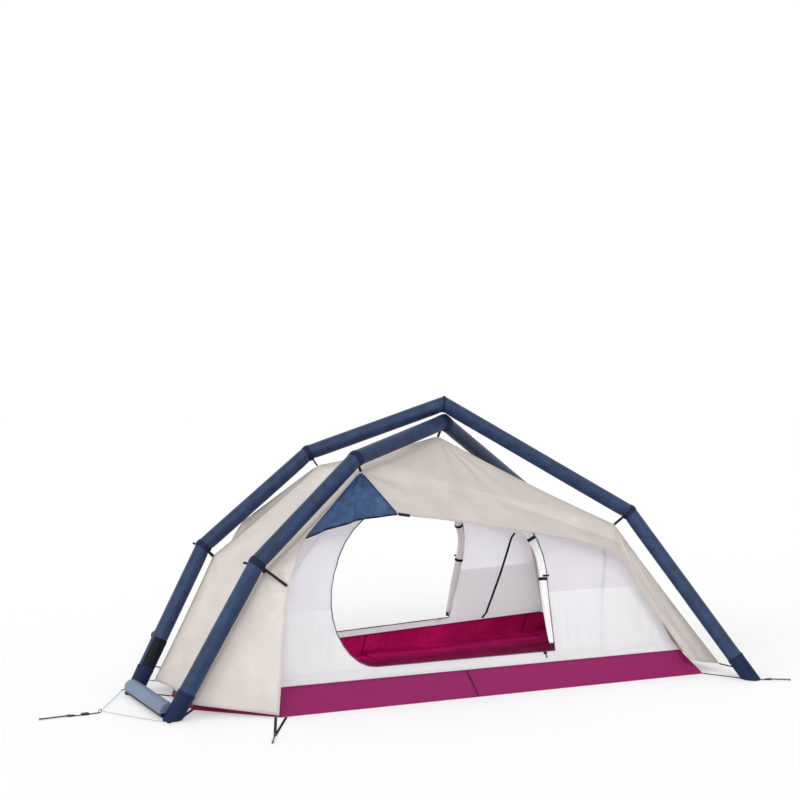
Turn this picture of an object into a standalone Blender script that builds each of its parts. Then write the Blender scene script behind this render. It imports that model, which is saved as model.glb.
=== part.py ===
"""Inflatable tent for one or two people: two air arches that cross at the top carry a fly and an inner tent.

Metres, with X along the tent (the wide end is at +X), Y across it and Z up. The origin lies under the
groundsheet, halfway along its straight sides. The side at -Y is called near and the side at +Y far.
"""

import math

import bmesh
import bpy
from mathutils import Matrix, Vector
from mathutils.geometry import closest_point_on_tri

# Fits and cuts
SEAT_GAP = 0.0003
SEAM_GAP = 0.0009
MITRE_GAP = 0.0005
CUT_OVERRUN = 0.02

# Air arches: each is bent low, high, at the crossing and on the right, and stands on a left and a right foot
TUBE_RADIUS = 0.0355
SLEEVE_WALL = 0.001
BLADDER_GAP = 0.0006
BLADDER_WALL = 0.0006
BLADDER_LIFT = 0.012
LEFT_FOOT_REACH = 1.422
LEFT_FOOT_SPREAD = 0.263
FOOT_TUBE_REACH = 1.455
FOOT_TUBE_SPREAD = 0.245
LOW_BEND_REACH = 1.093
LOW_BEND_SPREAD = 0.318
LOW_BEND_HEIGHT = 0.624
HIGH_BEND_REACH = 0.598
HIGH_BEND_SPREAD = 0.248
HIGH_BEND_HEIGHT = 1.041
CROSSING_SHIFT = 0.006
CROSSING_HEIGHT = 1.227
CROSSING_SPACING = 0.0856
RIGHT_BEND_REACH = 0.793
RIGHT_BEND_SPREAD = 0.392
RIGHT_BEND_HEIGHT = 0.752
RIGHT_FOOT_REACH = 1.130
RIGHT_FOOT_SPREAD = 0.824

# Boots on the feet, with their webbing
BOOT_LENGTH = 0.125
BOOT_WALL = 0.0015
SOLE_THICKNESS = 0.002
STRAP_WIDTH = 0.014
STRAP_THICKNESS = 0.0016
EYELET_REACH = 0.020
STRAP_ROOT_REACH = 0.032
SKIRT_TIE_HEIGHT = 0.055
NOSE_TIE_HEIGHT = 0.070

# Webbing bands at the bends, each with the hanger that carries a corner of the fly
BAND_REACH = 0.013
CROSSING_BAND_REACH = 0.029
BAND_THICKNESS = 0.0014
HANGER_WIDTH = 0.010
HANGER_THICKNESS = 0.0018
HOOK_RADIUS = 0.003
LOW_HANGER = 0.029
HIGH_HANGER = 0.040
CROSSING_HANGER = 0.045
RIGHT_HANGER = 0.059

# Valve on the far left leg
VALVE_UP_LEG = 0.27
VALVE_FACING_SHARES = (-0.20, 0.98)
VALVE_RADIUS = 0.021
VALVE_HEIGHT = 0.009
VALVE_BORE = 0.007
CAP_THICKNESS = 0.004
CAP_STEM_LENGTH = 0.002
CAP_STEM_GAP = 0.002
KNUCKLE_RADIUS = 0.0032
KNUCKLE_LENGTH = 0.010
PIN_RADIUS = 0.0012
EAR_WIDTH = 0.003
GRIP_REACH = 0.005

# Groundsheet tray
FABRIC = 0.0008
NARROW_END_REACH = 1.31
NARROW_END_SPREAD = 0.136
SHOULDER_REACH = 1.034
SHOULDER_SPREAD = 0.43
WIDE_END_REACH = 1.034
WIDE_END_SPREAD = 0.644
TRAY_HEIGHT = 0.110
TRAY_SIDE_LEAN = 0.056
TRAY_END_LEAN = 0.087
TRAY_NARROW_LEAN = 0.030

# Fly
RIDGE_HALF_GAP = 0.020
CORNER_TRIM = 0.010
HEM_LIFT = 0.012
HEM_OUTSET = 0.019
NOSE_LIFT = 0.050
NOSE_FORWARD = 0.042
NOSE_SPREAD = 0.240
WAIST_FORWARD = 0.065
WAIST_OUTSET = 0.101
WAIST_DROP = 0.052
VENT_REACH = 0.885
VENT_SPREAD = 0.350
VENT_HEIGHT = 0.722
AWNING_SPREAD = 0.450
AWNING_LEFT_REACH = 0.500
AWNING_LEFT_HEIGHT = 0.812
AWNING_MIDDLE_REACH = 0.090
AWNING_MIDDLE_HEIGHT = 0.712
AWNING_BEND_REACH = 0.531
AWNING_BEND_SPREAD = 0.487
AWNING_BEND_HEIGHT = 0.616
AWNING_RIGHT_REACH = 0.667
AWNING_RIGHT_SPREAD = 0.500
AWNING_RIGHT_HEIGHT = 0.530
AWNING_CORNER_REACH = 0.771
AWNING_CORNER_SPREAD = 0.525
AWNING_CORNER_HEIGHT = 0.375
AWNING_BEND_SHARE = 0.78
AWNING_CORNER_SHARE = 0.20
AWNING_COLUMNS = 6
SKIRT_IN_REACH = 0.940
SKIRT_IN_SPREAD = 0.660
SKIRT_IN_HEIGHT = 0.076
SKIRT_OUT_REACH = 1.155
SKIRT_OUT_SPREAD = 0.620
SKIRT_OUT_HEIGHT = 0.030
VENT_HEM_RISE = 0.018
VENT_FOLD = 0.006
SKIRT_FOLD = 0.007
VENT_FOLD_COUNT = 4
SKIRT_FOLD_COUNT = 2

# Inner tent
INNER_DROP = 0.042
INNER_INSET = 0.028
SILL_LIFT = 0.040
SILL_LEAN = 0.038
INNER_WAIST_REACH = 0.970
INNER_WAIST_SPREAD = 0.300
INNER_WAIST_HEIGHT = 0.500
INNER_NOSE_REACH = 1.050
INNER_NOSE_SPREAD = 0.200
WALL_HEIGHT_SHARES = (0.0, 0.36, 0.70, 1.0)
WALL_INWARD_SHARES = (0.0, 0.27, 0.47, 1.0)
WALL_STEP_SHARE = 0.001
DOOR_LEFT_REACH = 0.755
DOOR_SILL_LEFT_REACH = 0.560
DOOR_RIGHT_REACH = 0.330
DOOR_SILL_RIGHT_REACH = 0.305
DOOR_TOP_RIGHT_REACH = 0.0
DOOR_TOP_LEFT_REACH = 0.300
DOOR_TOP_HEIGHT = 0.860
DOOR_LEFT_HEIGHT = 0.420
DOOR_RIGHT_HEIGHT = 0.500

# Rolled doors, their ties and toggles
ROLL_GAP = 0.0020
ROLL_RADIUS = 0.024
ROLL_BOTTOM_LIFT = 0.030
ROLL_RADIUS_SHARES = (0.50, 0.62, 0.74, 0.80, 0.80, 0.76, 0.84, 0.95, 1.0, 0.94)
TIE_SHARE = 0.40
TIE_WIDTH = 0.014
TIE_THICKNESS = 0.0012
TOGGLE_RADIUS = 0.004
TOGGLE_LENGTH = 0.032

# Zip sliders on the door sills
SLIDER_LENGTH = 0.016
SLIDER_HEIGHT = 0.010
SLIDER_THICKNESS = 0.005
SLIDER_DROP = 0.003
SLIDER_START_REACH = 0.250
PULL_LENGTH = 0.026
PULL_WIDTH = 0.006
PULL_THICKNESS = 0.0014

# Straps inside the inner walls
INNER_STRAP_WIDTH = 0.013
INNER_STRAP_THICKNESS = 0.0012
INNER_STRAP_STANDOFF = 0.0010
INNER_STRAP_TOP_REACH = 0.650
INNER_STRAP_TOP_HEIGHT = 0.580
INNER_STRAP_FOOT_REACH = 0.542
INNER_STRAP_FOOT_HEIGHT = 0.118

# Pegs, the rings that hold them, and the ground webbing
PEG_RADIUS = 0.003
PEG_HEAD_RADIUS = 0.0046
PEG_HEAD_LENGTH = 0.006
PEG_POINT_LENGTH = 0.012
PEG_RING_WALL = 0.0014
PEG_RING_LENGTH = 0.016
PEG_INSIDE = 0.030
SIDE_PEG_REACH = 1.166
SIDE_PEG_SPREAD = 0.675
SIDE_PEG_LENGTH = 0.140
SIDE_LEG_START = 0.016
RIGHT_PEG_REACH = 0.085
RIGHT_PEG_LENGTH = 0.120
GUY_PEG_LENGTH = 0.150

# Guy line at the narrow end
GUY_RADIUS = 0.00125
GUY_RING_REACH = 1.665
GUY_STRAP_LENGTH = 0.125
GUY_RING_RADIUS = 0.0065
GUY_WIRE_RADIUS = 0.0014
TENSIONER_LENGTH = 0.030
TENSIONER_WIDTH = 0.024
TENSIONER_HEIGHT = 0.007
TENSIONER_SHARE = 0.45
GUY_ROUTE = ((-1.4800, -0.3080, 0.0080), (-1.5200, -0.2400, 0.0074), (-1.5900, -0.1220, 0.0068),
             (-1.6480, -0.0240, 0.0076), (-1.6617, 0.0, 0.0080), (-1.6480, 0.0240, 0.0076),
             (-1.5900, 0.1220, 0.0068), (-1.5200, 0.2400, 0.0074), (-1.4800, 0.3080, 0.0080))

# Colours: name, red, green, blue, roughness, metallic
FINISHES = {
    "navy_fabric": (0.030, 0.070, 0.160, 0.62, 0.0),
    "pale_coated_fabric": (0.220, 0.300, 0.390, 0.45, 0.0),
    "boot_fabric": (0.008, 0.018, 0.065, 0.55, 0.0),
    "bladder_film": (0.550, 0.580, 0.600, 0.35, 0.0),
    "black_webbing": (0.012, 0.012, 0.015, 0.75, 0.0),
    "black_plastic": (0.010, 0.010, 0.011, 0.40, 0.0),
    "fly_fabric": (0.620, 0.580, 0.530, 0.70, 0.0),
    "vent_fabric": (0.045, 0.105, 0.230, 0.60, 0.0),
    "inner_fabric": (0.840, 0.840, 0.850, 0.80, 0.0),
    "tray_fabric": (0.300, 0.030, 0.110, 0.50, 0.0),
    "guy_cord": (0.600, 0.600, 0.580, 0.70, 0.0),
    "peg_metal": (0.080, 0.080, 0.085, 0.35, 0.9),
}

# Facets round a tube, round what is wrapped on it or lies inside it, round a peg and round a hook
TUBE_SIDES = 28
WRAP_SIDES = 20
PEG_SIDES = 12
HOOK_SIDES = 8
UP = Vector((0.0, 0.0, 1.0))


def clear_scene():
    """Remove whatever the file starts with."""
    for old in list(bpy.data.objects):
        bpy.data.objects.remove(old, do_unlink=True)


def make_collection(name):
    """Return a new collection in the scene."""
    collection = bpy.data.collections.new(name)
    bpy.context.scene.collection.children.link(collection)
    return collection


def make_material(name):
    """Return the material of a finish, made once."""
    if name in bpy.data.materials:
        return bpy.data.materials[name]
    red, green, blue, roughness, metallic = FINISHES[name]
    material = bpy.data.materials.new(name)
    material.use_nodes = True
    shader = material.node_tree.nodes["Principled BSDF"]
    shader.inputs["Base Color"].default_value = (red, green, blue, 1.0)
    shader.inputs["Roughness"].default_value = roughness
    shader.inputs["Metallic"].default_value = metallic
    material.diffuse_color = (red, green, blue, 1.0)
    return material


class Workshop:
    """The collections that hold the pieces and the cutters, and the empty that carries the tent."""

    def __init__(self):
        clear_scene()
        self.parts = make_collection("inflatable_tent")
        self.cutters = make_collection("cutters")
        self.root = bpy.data.objects.new("tent_origin", None)
        self.parts.objects.link(self.root)

    def add(self, name, bm, finish, origin=None, turn=None):
        """Make a piece from a closed or open bmesh in world places, with its origin where it is carried."""
        frame = Matrix.Translation(origin or Vector()) @ (turn.to_matrix().to_4x4() if turn else Matrix())
        bmesh.ops.transform(bm, matrix=frame.inverted(), verts=bm.verts)
        mesh = bpy.data.meshes.new(name)
        bm.to_mesh(mesh)
        bm.free()
        mesh.materials.append(make_material(finish))
        piece = bpy.data.objects.new(name, mesh)
        piece.matrix_world = frame
        piece.parent = self.root
        self.parts.objects.link(piece)
        mesh.shade_smooth()
        mesh.set_sharp_from_angle(angle=math.radians(30))
        return piece

    def tool(self, name, bm):
        """Make a shape that only joins or cuts others."""
        mesh = bpy.data.meshes.new(name)
        bm.to_mesh(mesh)
        bm.free()
        shape = bpy.data.objects.new(name, mesh)
        shape.hide_render = True
        shape.display_type = 'WIRE'
        self.cutters.objects.link(shape)
        return shape

    def boolean(self, piece, shape, operation):
        """Join a shape to a piece, or cut it away."""
        modifier = piece.modifiers.new(shape.name, 'BOOLEAN')
        modifier.operation = operation
        modifier.solver = 'EXACT'
        modifier.object = shape

    def join(self, piece, name, bm):
        """Join a closed bmesh to a piece."""
        self.boolean(piece, self.tool(name, bm), 'UNION')

    def cut(self, piece, name, bm):
        """Cut a closed bmesh out of a piece."""
        self.boolean(piece, self.tool(name, bm), 'DIFFERENCE')


def mirrored(point, side):
    """Put a point given for the far side on the near side when side is -1."""
    return Vector((point.x, point.y * side, point.z))


def slide_to_plane(vertices, direction, place, normal):
    """Move vertices along a direction until they lie in a plane."""
    for vertex in vertices:
        distance = (place - vertex.co).dot(normal) / direction.dot(normal)
        vertex.co += direction * distance


def swept_rings(bm, points, normals, radius, sides):
    """Sweep a ring along points, laying it in the plane of each, and return the first and last rings."""
    direction = (points[1] - points[0]).normalized()
    frame = Matrix.Translation(points[0]) @ UP.rotation_difference(direction).to_matrix().to_4x4()
    ring = bmesh.ops.create_circle(bm, segments=sides, radius=radius, matrix=frame)["verts"]
    slide_to_plane(ring, direction, points[0], normals[0])
    first = list(ring)
    for previous, place, normal in zip(points, points[1:], normals[1:]):
        direction = (place - previous).normalized()
        members = set(ring)
        edges = [edge for edge in bm.edges if set(edge.verts) <= members]
        extruded = bmesh.ops.extrude_edge_only(bm, edges=edges)["geom"]
        made = {item for item in extruded if isinstance(item, bmesh.types.BMVert)}
        ring = [next(edge.other_vert(vertex) for edge in vertex.link_edges if edge.other_vert(vertex) in made)
                for vertex in ring]
        slide_to_plane(ring, direction, place, normal)
    return first, list(ring)


def ring_edges(bm, ring):
    """Return the edges that join the vertices of an end ring."""
    members = set(ring)
    return [edge for edge in bm.edges if edge.is_boundary and set(edge.verts) <= members]


def solid_tube(points, normals, radius, sides=TUBE_SIDES):
    """Return a closed round bar along points, cut at each point by its plane."""
    bm = bmesh.new()
    first, last = swept_rings(bm, points, normals, radius, sides)
    for ring in (first, last):
        bmesh.ops.contextual_create(bm, geom=ring_edges(bm, ring))
    bmesh.ops.recalc_face_normals(bm, faces=bm.faces)
    return bm


def hollow_tube(points, normals, outer, inner, sides=TUBE_SIDES):
    """Return a pipe along points, open at both ends, cut at each point by its plane."""
    bm = bmesh.new()
    outer_ends = swept_rings(bm, points, normals, outer, sides)
    inner_ends = swept_rings(bm, points, normals, inner, sides)
    for outside, inside in zip(outer_ends, inner_ends):
        for index in range(sides):
            bm.faces.new((outside[index - 1], outside[index], inside[index], inside[index - 1]))
    bmesh.ops.recalc_face_normals(bm, faces=bm.faces)
    return bm


def square_ends(points):
    """Return planes square to the first and last runs, with mitre planes at the bends between."""
    runs = [(end - start).normalized() for start, end in zip(points, points[1:])]
    middle = [(before + after).normalized() for before, after in zip(runs, runs[1:])]
    return [runs[0]] + middle + [runs[-1]]


def rod(start, end, radius, sides=PEG_SIDES):
    """Return a closed round rod with square ends."""
    frame = (Matrix.Translation((start + end) / 2)
             @ UP.rotation_difference(end - start).to_matrix().to_4x4())
    bm = bmesh.new()
    bmesh.ops.create_cone(bm, cap_ends=True, segments=sides, radius1=radius, radius2=radius,
                          depth=(end - start).length, matrix=frame)
    return bm


def bar(start, end, width, thickness, facing):
    """Return a closed flat bar from start to end, its thickness along the facing direction."""
    along = (end - start).normalized()
    across = along.cross(facing).normalized()
    face = across.cross(along).normalized()
    turn = Matrix((across, along, face)).transposed().to_4x4()
    size = Matrix.Diagonal((width, (end - start).length, thickness, 1.0))
    bm = bmesh.new()
    bmesh.ops.create_cube(bm, size=1.0, matrix=Matrix.Translation((start + end) / 2) @ turn @ size)
    return bm


def ball(place, radius):
    """Return a closed ball."""
    bm = bmesh.new()
    bmesh.ops.create_uvsphere(bm, u_segments=HOOK_SIDES, v_segments=HOOK_SIDES * 3 // 4, radius=radius,
                              matrix=Matrix.Translation(place))
    return bm


def blend(start, end, share):
    """Return the value that lies at a share of the way from start to end."""
    return start + (end - start) * share


def patch_point(rows, across, down):
    """Return the point of a patch of control rows at a column and row position."""
    row = min(int(down), len(rows) - 2)
    column = min(int(across), len(rows[0]) - 2)
    upper = blend(rows[row][column], rows[row][column + 1], across - column)
    lower = blend(rows[row + 1][column], rows[row + 1][column + 1], across - column)
    return blend(upper, lower, down - row)


def patch_grid(rows, columns_per_span, rows_per_span):
    """Return a fine grid of points over a patch of control rows."""
    wide = (len(rows[0]) - 1) * columns_per_span
    tall = (len(rows) - 1) * rows_per_span
    return [[patch_point(rows, column / columns_per_span, row / rows_per_span)
             for column in range(wide + 1)] for row in range(tall + 1)]


def drawn_in(grid, distance):
    """Return a grid whose outer points are moved inwards along it by a distance."""
    moved = [[point.copy() for point in row] for row in grid]
    for row in moved:
        row[0] += (row[1] - row[0]).normalized() * distance
        row[-1] += (row[-2] - row[-1]).normalized() * distance
    for column in range(len(moved[0])):
        top = (moved[1][column] - moved[0][column]).normalized() * distance
        bottom = (moved[-2][column] - moved[-1][column]).normalized() * distance
        moved[0][column] += top
        moved[-1][column] += bottom
    return moved


def grid_mesh(grid):
    """Return an open bmesh with a quad for each cell of a grid."""
    bm = bmesh.new()
    vertices = [[bm.verts.new(point) for point in row] for row in grid]
    for upper, lower in zip(vertices, vertices[1:]):
        for left in range(len(upper) - 1):
            bm.faces.new((upper[left], upper[left + 1], lower[left + 1], lower[left]))
    return bm


def fabric(shop, name, grid, finish, thickness=FABRIC):
    """Make a fabric panel of even thickness from a grid that meets its seams."""
    middle = grid[len(grid) // 2][len(grid[0]) // 2]
    panel = shop.add(name, grid_mesh(drawn_in(grid, SEAM_GAP / 2)), finish, origin=middle)
    solidify = panel.modifiers.new("thickness", 'SOLIDIFY')
    solidify.thickness = thickness
    solidify.offset = 0.0
    return panel


def flat_outline(shop, name, outline, thickness, finish):
    """Make a flat plate that lies on the ground from an outline of (x, y) points."""
    curve = bpy.data.curves.new(name, 'CURVE')
    curve.dimensions = '2D'
    curve.fill_mode = 'BOTH'
    curve.extrude = thickness / 2
    spline = curve.splines.new('POLY')
    spline.points.add(len(outline) - 1)
    for point, (x, y) in zip(spline.points, outline):
        point.co = (x, y, 0.0, 1.0)
    spline.use_cyclic_u = True
    drawn = bpy.data.objects.new(name + "_outline", curve)
    drawn.location.z = thickness / 2
    shop.parts.objects.link(drawn)
    return curve_as_mesh(shop, drawn, name, finish)


def curve_as_mesh(shop, drawn, name, finish):
    """Turn a curve object into a mesh piece with its caps welded on."""
    bpy.context.view_layer.update()
    evaluated = drawn.evaluated_get(bpy.context.evaluated_depsgraph_get())
    mesh = bpy.data.meshes.new_from_object(evaluated)
    bm = bmesh.new()
    bm.from_mesh(mesh)
    bmesh.ops.transform(bm, matrix=drawn.matrix_world, verts=bm.verts)
    bmesh.ops.remove_doubles(bm, verts=bm.verts, dist=SEAT_GAP / 10)
    bmesh.ops.recalc_face_normals(bm, faces=bm.faces)
    bpy.data.objects.remove(drawn, do_unlink=True)
    bpy.data.meshes.remove(mesh)
    return shop.add(name, bm, finish)


def smooth_route(points, steps):
    """Return points on a smooth curve through the points of a route."""
    padded = [points[0] * 2 - points[1]] + list(points) + [points[-1] * 2 - points[-2]]
    route = []
    for before, start, end, after in zip(padded, padded[1:], padded[2:], padded[3:]):
        for step in range(steps):
            share = step / steps
            square = share * share
            cube = square * share
            route.append((start * 2 + (end - before) * share
                          + (before * 2 - start * 5 + end * 4 - after) * square
                          + (start * 3 - before - end * 3 + after) * cube) / 2)
    route.append(points[-1])
    return route


def seat_distance(corner, direction, panels, radius):
    """Return how far from a corner a ball's centre lies when it rests just clear of the panels there."""
    clear = radius + FABRIC / 2 + SEAT_GAP
    distance = clear
    while distance < clear * 8:
        centre = corner + direction * distance
        nearest = min((centre - closest_point_on_tri(centre, *panel)).length for panel in panels)
        if nearest >= clear:
            break
        distance += clear / 40
    return distance


class Frame:
    """The places along the arches, worked out from their sizes. Places are given for the far side."""

    def __init__(self):
        self.left_foot = Vector((-LEFT_FOOT_REACH, LEFT_FOOT_SPREAD, TUBE_RADIUS))
        self.low_bend = Vector((-LOW_BEND_REACH, LOW_BEND_SPREAD, LOW_BEND_HEIGHT))
        self.high_bend = Vector((-HIGH_BEND_REACH, HIGH_BEND_SPREAD, HIGH_BEND_HEIGHT))
        self.right_bend = Vector((RIGHT_BEND_REACH, RIGHT_BEND_SPREAD, RIGHT_BEND_HEIGHT))
        self.right_foot = Vector((RIGHT_FOOT_REACH, RIGHT_FOOT_SPREAD, TUBE_RADIUS))
        self.crossings = {
            "a": Vector((-CROSSING_SHIFT, 0.0, CROSSING_HEIGHT + CROSSING_SPACING / 2)),
            "b": Vector((-CROSSING_SHIFT, 0.0, CROSSING_HEIGHT - CROSSING_SPACING / 2)),
        }

    def ground_point(self, foot, bend, height=0.0):
        """Return where a leg's centre line reaches a height near the ground."""
        along = bend - foot
        return foot + along * ((height - foot.z) / along.z)

    def arch(self, letter):
        """Return the centre line of an arch, left foot first. Arch a runs from far left to near right."""
        side = 1 if letter == "a" else -1
        left = [self.ground_point(self.left_foot, self.low_bend), self.low_bend, self.high_bend]
        right = [self.right_bend, self.ground_point(self.right_foot, self.right_bend)]
        return ([mirrored(point, side) for point in left] + [self.crossings[letter]]
                + [mirrored(point, -side) for point in right])

    def bend_near_corner(self, kind, side):
        """Return a bend's place with its neighbours along the arch that passes on that side."""
        letter = "a" if side > 0 else "b"
        if kind == "right":
            letter = "b" if side > 0 else "a"
        index = {"low": 1, "high": 2, "crossing": 3, "right": 4}[kind]
        line = self.arch(letter)
        return line[index - 1], line[index], line[index + 1]


# Directions from a fly corner towards the bend that it hangs from, for the far side
HANGER_DIRECTION_SHARES = {
    "low": Vector((-0.66, 0.30, 0.69)),
    "high": Vector((-0.49, 0.31, 0.81)),
    "crossing": Vector((0.41, 0.0, 0.91)),
    "right": Vector((0.61, 0.44, 0.65)),
}
HANGER_LENGTHS = {"low": LOW_HANGER, "high": HIGH_HANGER, "crossing": CROSSING_HANGER, "right": RIGHT_HANGER}


class FlyPlan:
    """The corners of the fly, for the far side."""

    def __init__(self, frame):
        self.low = self.hung_corner(frame.low_bend, "low")
        self.high = self.hung_corner(frame.high_bend, "high")
        self.right = self.hung_corner(frame.right_bend, "right")
        crossing = self.hung_corner(frame.crossings["b"], "crossing")
        self.ridge_centre = crossing
        self.ridge = crossing + Vector((0.0, RIDGE_HALF_GAP, 0.0))
        slant = Vector((SHOULDER_REACH - NARROW_END_REACH, NARROW_END_SPREAD - SHOULDER_SPREAD, 0.0))
        outward = Vector((slant.y, -slant.x, 0.0)).normalized() * HEM_OUTSET
        outward = Vector((-abs(outward.x), abs(outward.y), 0.0))
        self.nose = Vector((-NARROW_END_REACH - NOSE_FORWARD, NOSE_SPREAD, NOSE_LIFT))
        self.shoulder = Vector((-SHOULDER_REACH, SHOULDER_SPREAD, HEM_LIFT)) + outward
        self.waist = self.low + Vector((WAIST_FORWARD, WAIST_OUTSET, -WAIST_DROP))
        self.vent = Vector((-VENT_REACH, VENT_SPREAD, VENT_HEIGHT))
        self.awning_left = Vector((-AWNING_LEFT_REACH, AWNING_SPREAD, AWNING_LEFT_HEIGHT))
        self.awning_middle = Vector((AWNING_MIDDLE_REACH, AWNING_SPREAD, AWNING_MIDDLE_HEIGHT))
        self.awning_bend = Vector((AWNING_BEND_REACH, AWNING_BEND_SPREAD, AWNING_BEND_HEIGHT))
        self.awning_right = Vector((AWNING_RIGHT_REACH, AWNING_RIGHT_SPREAD, AWNING_RIGHT_HEIGHT))
        self.awning_corner = Vector((AWNING_CORNER_REACH, AWNING_CORNER_SPREAD, AWNING_CORNER_HEIGHT))
        self.skirt_in = Vector((SKIRT_IN_REACH, SKIRT_IN_SPREAD, SKIRT_IN_HEIGHT))
        self.skirt_out = Vector((SKIRT_OUT_REACH, SKIRT_OUT_SPREAD, SKIRT_OUT_HEIGHT))

    @staticmethod
    def hung_corner(bend, kind):
        """Return the corner that hangs below a bend, clear of its tube by the hanger's length."""
        direction = HANGER_DIRECTION_SHARES[kind].normalized()
        return bend - direction * (TUBE_RADIUS + HANGER_LENGTHS[kind])

    def trimmed(self, corner, towards):
        """Return a point a little way from a corner towards another."""
        return corner + (towards - corner).normalized() * CORNER_TRIM

    def panels_at(self, kind):
        """Return triangles of fabric that meet at a hung corner, on both sides where they matter."""
        if kind == "low":
            return [(self.low, self.high, self.waist), (self.low, self.waist, self.shoulder),
                    (self.low, self.nose, self.shoulder), (self.low, mirrored(self.low, -1), self.high),
                    (self.low, mirrored(self.low, -1), self.nose)]
        if kind == "high":
            return [(self.high, self.low, self.waist), (self.high, self.vent, self.awning_left),
                    (self.high, self.awning_left, self.ridge), (self.high, mirrored(self.high, -1), self.low),
                    (self.high, mirrored(self.high, -1), self.ridge_centre)]
        if kind == "right":
            return [(self.right, self.awning_right, self.ridge),
                    (self.right, self.skirt_out, self.awning_right),
                    (self.right, mirrored(self.right, -1), self.ridge_centre),
                    (self.right, mirrored(self.right, -1), self.skirt_out)]
        if kind == "waist":
            return [(self.waist, self.low, self.high), (self.waist, self.low, self.shoulder),
                    (self.waist, self.high, self.vent)]
        if kind == "nose":
            return [(self.nose, self.shoulder, self.waist), (self.nose, self.waist, self.low),
                    (self.nose, mirrored(self.nose, -1), self.low)]
        if kind == "skirt_out":
            return [(self.skirt_out, self.awning_right, self.right),
                    (self.skirt_out, self.skirt_in, self.awning_right),
                    (self.skirt_out, mirrored(self.skirt_out, -1), self.right)]
        return [(self.ridge, mirrored(self.ridge, -1), self.high),
                (self.ridge, mirrored(self.ridge, -1), self.right)]


class InnerPlan:
    """The corners of the inner tent and the groundsheet tray, for the far side."""

    def __init__(self, fly):
        self.floor = [Vector((-NARROW_END_REACH, NARROW_END_SPREAD, 0.0)),
                      Vector((-SHOULDER_REACH, SHOULDER_SPREAD, 0.0)),
                      Vector((WIDE_END_REACH, WIDE_END_SPREAD, 0.0))]
        slope = (WIDE_END_SPREAD - SHOULDER_SPREAD) / (WIDE_END_REACH + SHOULDER_REACH)
        shoulder_lean = TRAY_NARROW_LEAN / 2
        self.rim = [
            Vector((-NARROW_END_REACH + TRAY_NARROW_LEAN, NARROW_END_SPREAD - TRAY_NARROW_LEAN, TRAY_HEIGHT)),
            Vector((-SHOULDER_REACH + shoulder_lean,
                    SHOULDER_SPREAD - TRAY_SIDE_LEAN + slope * shoulder_lean, TRAY_HEIGHT)),
            Vector((WIDE_END_REACH - TRAY_END_LEAN,
                    WIDE_END_SPREAD - TRAY_SIDE_LEAN - slope * TRAY_END_LEAN, TRAY_HEIGHT))]
        sill_rise = Vector((0.0, -SILL_LEAN, SILL_LIFT))
        inset = Vector((0.0, -INNER_INSET, -INNER_DROP))
        self.high = fly.high + inset
        self.right = fly.right + inset
        self.ridge = fly.ridge_centre + Vector((0.0, RIDGE_HALF_GAP, -INNER_DROP))
        self.waist = Vector((-INNER_WAIST_REACH, INNER_WAIST_SPREAD, INNER_WAIST_HEIGHT))
        nose_top = Vector((-INNER_NOSE_REACH, INNER_NOSE_SPREAD, INNER_WAIST_HEIGHT))
        sill_share = SILL_LIFT / (INNER_WAIST_HEIGHT - TRAY_HEIGHT)
        left_shift = Vector((self.waist.x - self.rim[1].x, 0.0, 0.0)) * sill_share
        right_share = SILL_LIFT / (self.right.z - TRAY_HEIGHT)
        right_shift = Vector((self.right.x - self.rim[2].x, 0.0, 0.0)) * right_share
        along = (self.rim[2] - self.rim[1]).normalized()
        self.sill_left = self.rim[1] + along * left_shift.x + sill_rise
        self.sill_right = self.rim[2] + along * right_shift.x + sill_rise
        self.nose_sill = blend(self.rim[0], nose_top, sill_share)
        self.nose_top = nose_top

    def wall_rows(self):
        """Return the control rows of a long wall from the tray's rim up to the ridge line."""
        top = [self.waist, self.high, self.ridge, self.right]
        rim = [self.rim[1]] + [self.along_line(self.rim[1], self.rim[2], point.x) for point in top[1:3]]
        sill = [self.sill_left] + [self.along_line(self.sill_left, self.sill_right, point.x)
                                   for point in top[1:3]]
        rim.append(self.rim[2])
        sill.append(self.sill_right)
        rows = [rim]
        for height, inward in zip(WALL_HEIGHT_SHARES, WALL_INWARD_SHARES):
            rows.append([Vector((blend(low.x, high.x, height), blend(low.y, high.y, inward),
                                 blend(low.z, high.z, height))) for low, high in zip(sill, top)])
        return rows

    @staticmethod
    def along_line(start, end, x):
        """Return the point of a line at a place along the tent."""
        return blend(start, end, (x - start.x) / (end.x - start.x))

    def wall_at(self, x, z):
        """Return the position in the wall's rows, and the point there, at a place in side view."""
        rows = self.wall_rows()
        across, down = 1.5, 2.0
        step = WALL_STEP_SHARE
        for _ in range(30):
            point = patch_point(rows, across, down)
            miss = (x - point.x, z - point.z)
            ahead = patch_point(rows, across + step, down)
            above = patch_point(rows, across, down + step)
            slope_x = ((ahead.x - point.x) / step, (above.x - point.x) / step)
            slope_z = ((ahead.z - point.z) / step, (above.z - point.z) / step)
            spread = slope_x[0] * slope_z[1] - slope_x[1] * slope_z[0]
            across += (miss[0] * slope_z[1] - miss[1] * slope_x[1]) / spread * 0.7
            down += (miss[1] * slope_x[0] - miss[0] * slope_z[0]) / spread * 0.7
            across = min(max(across, 0.0), 3.0)
            down = min(max(down, 0.0), 4.0)
        return patch_point(rows, across, down)


def arc_points(centre, wide, tall, start, end, steps):
    """Return points on a quarter of an ellipse in side view, given its angles in degrees."""
    angles = [math.radians(start + (end - start) * step / steps) for step in range(steps + 1)]
    return [(centre[0] + wide * math.cos(angle), centre[1] + tall * math.sin(angle)) for angle in angles]


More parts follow.
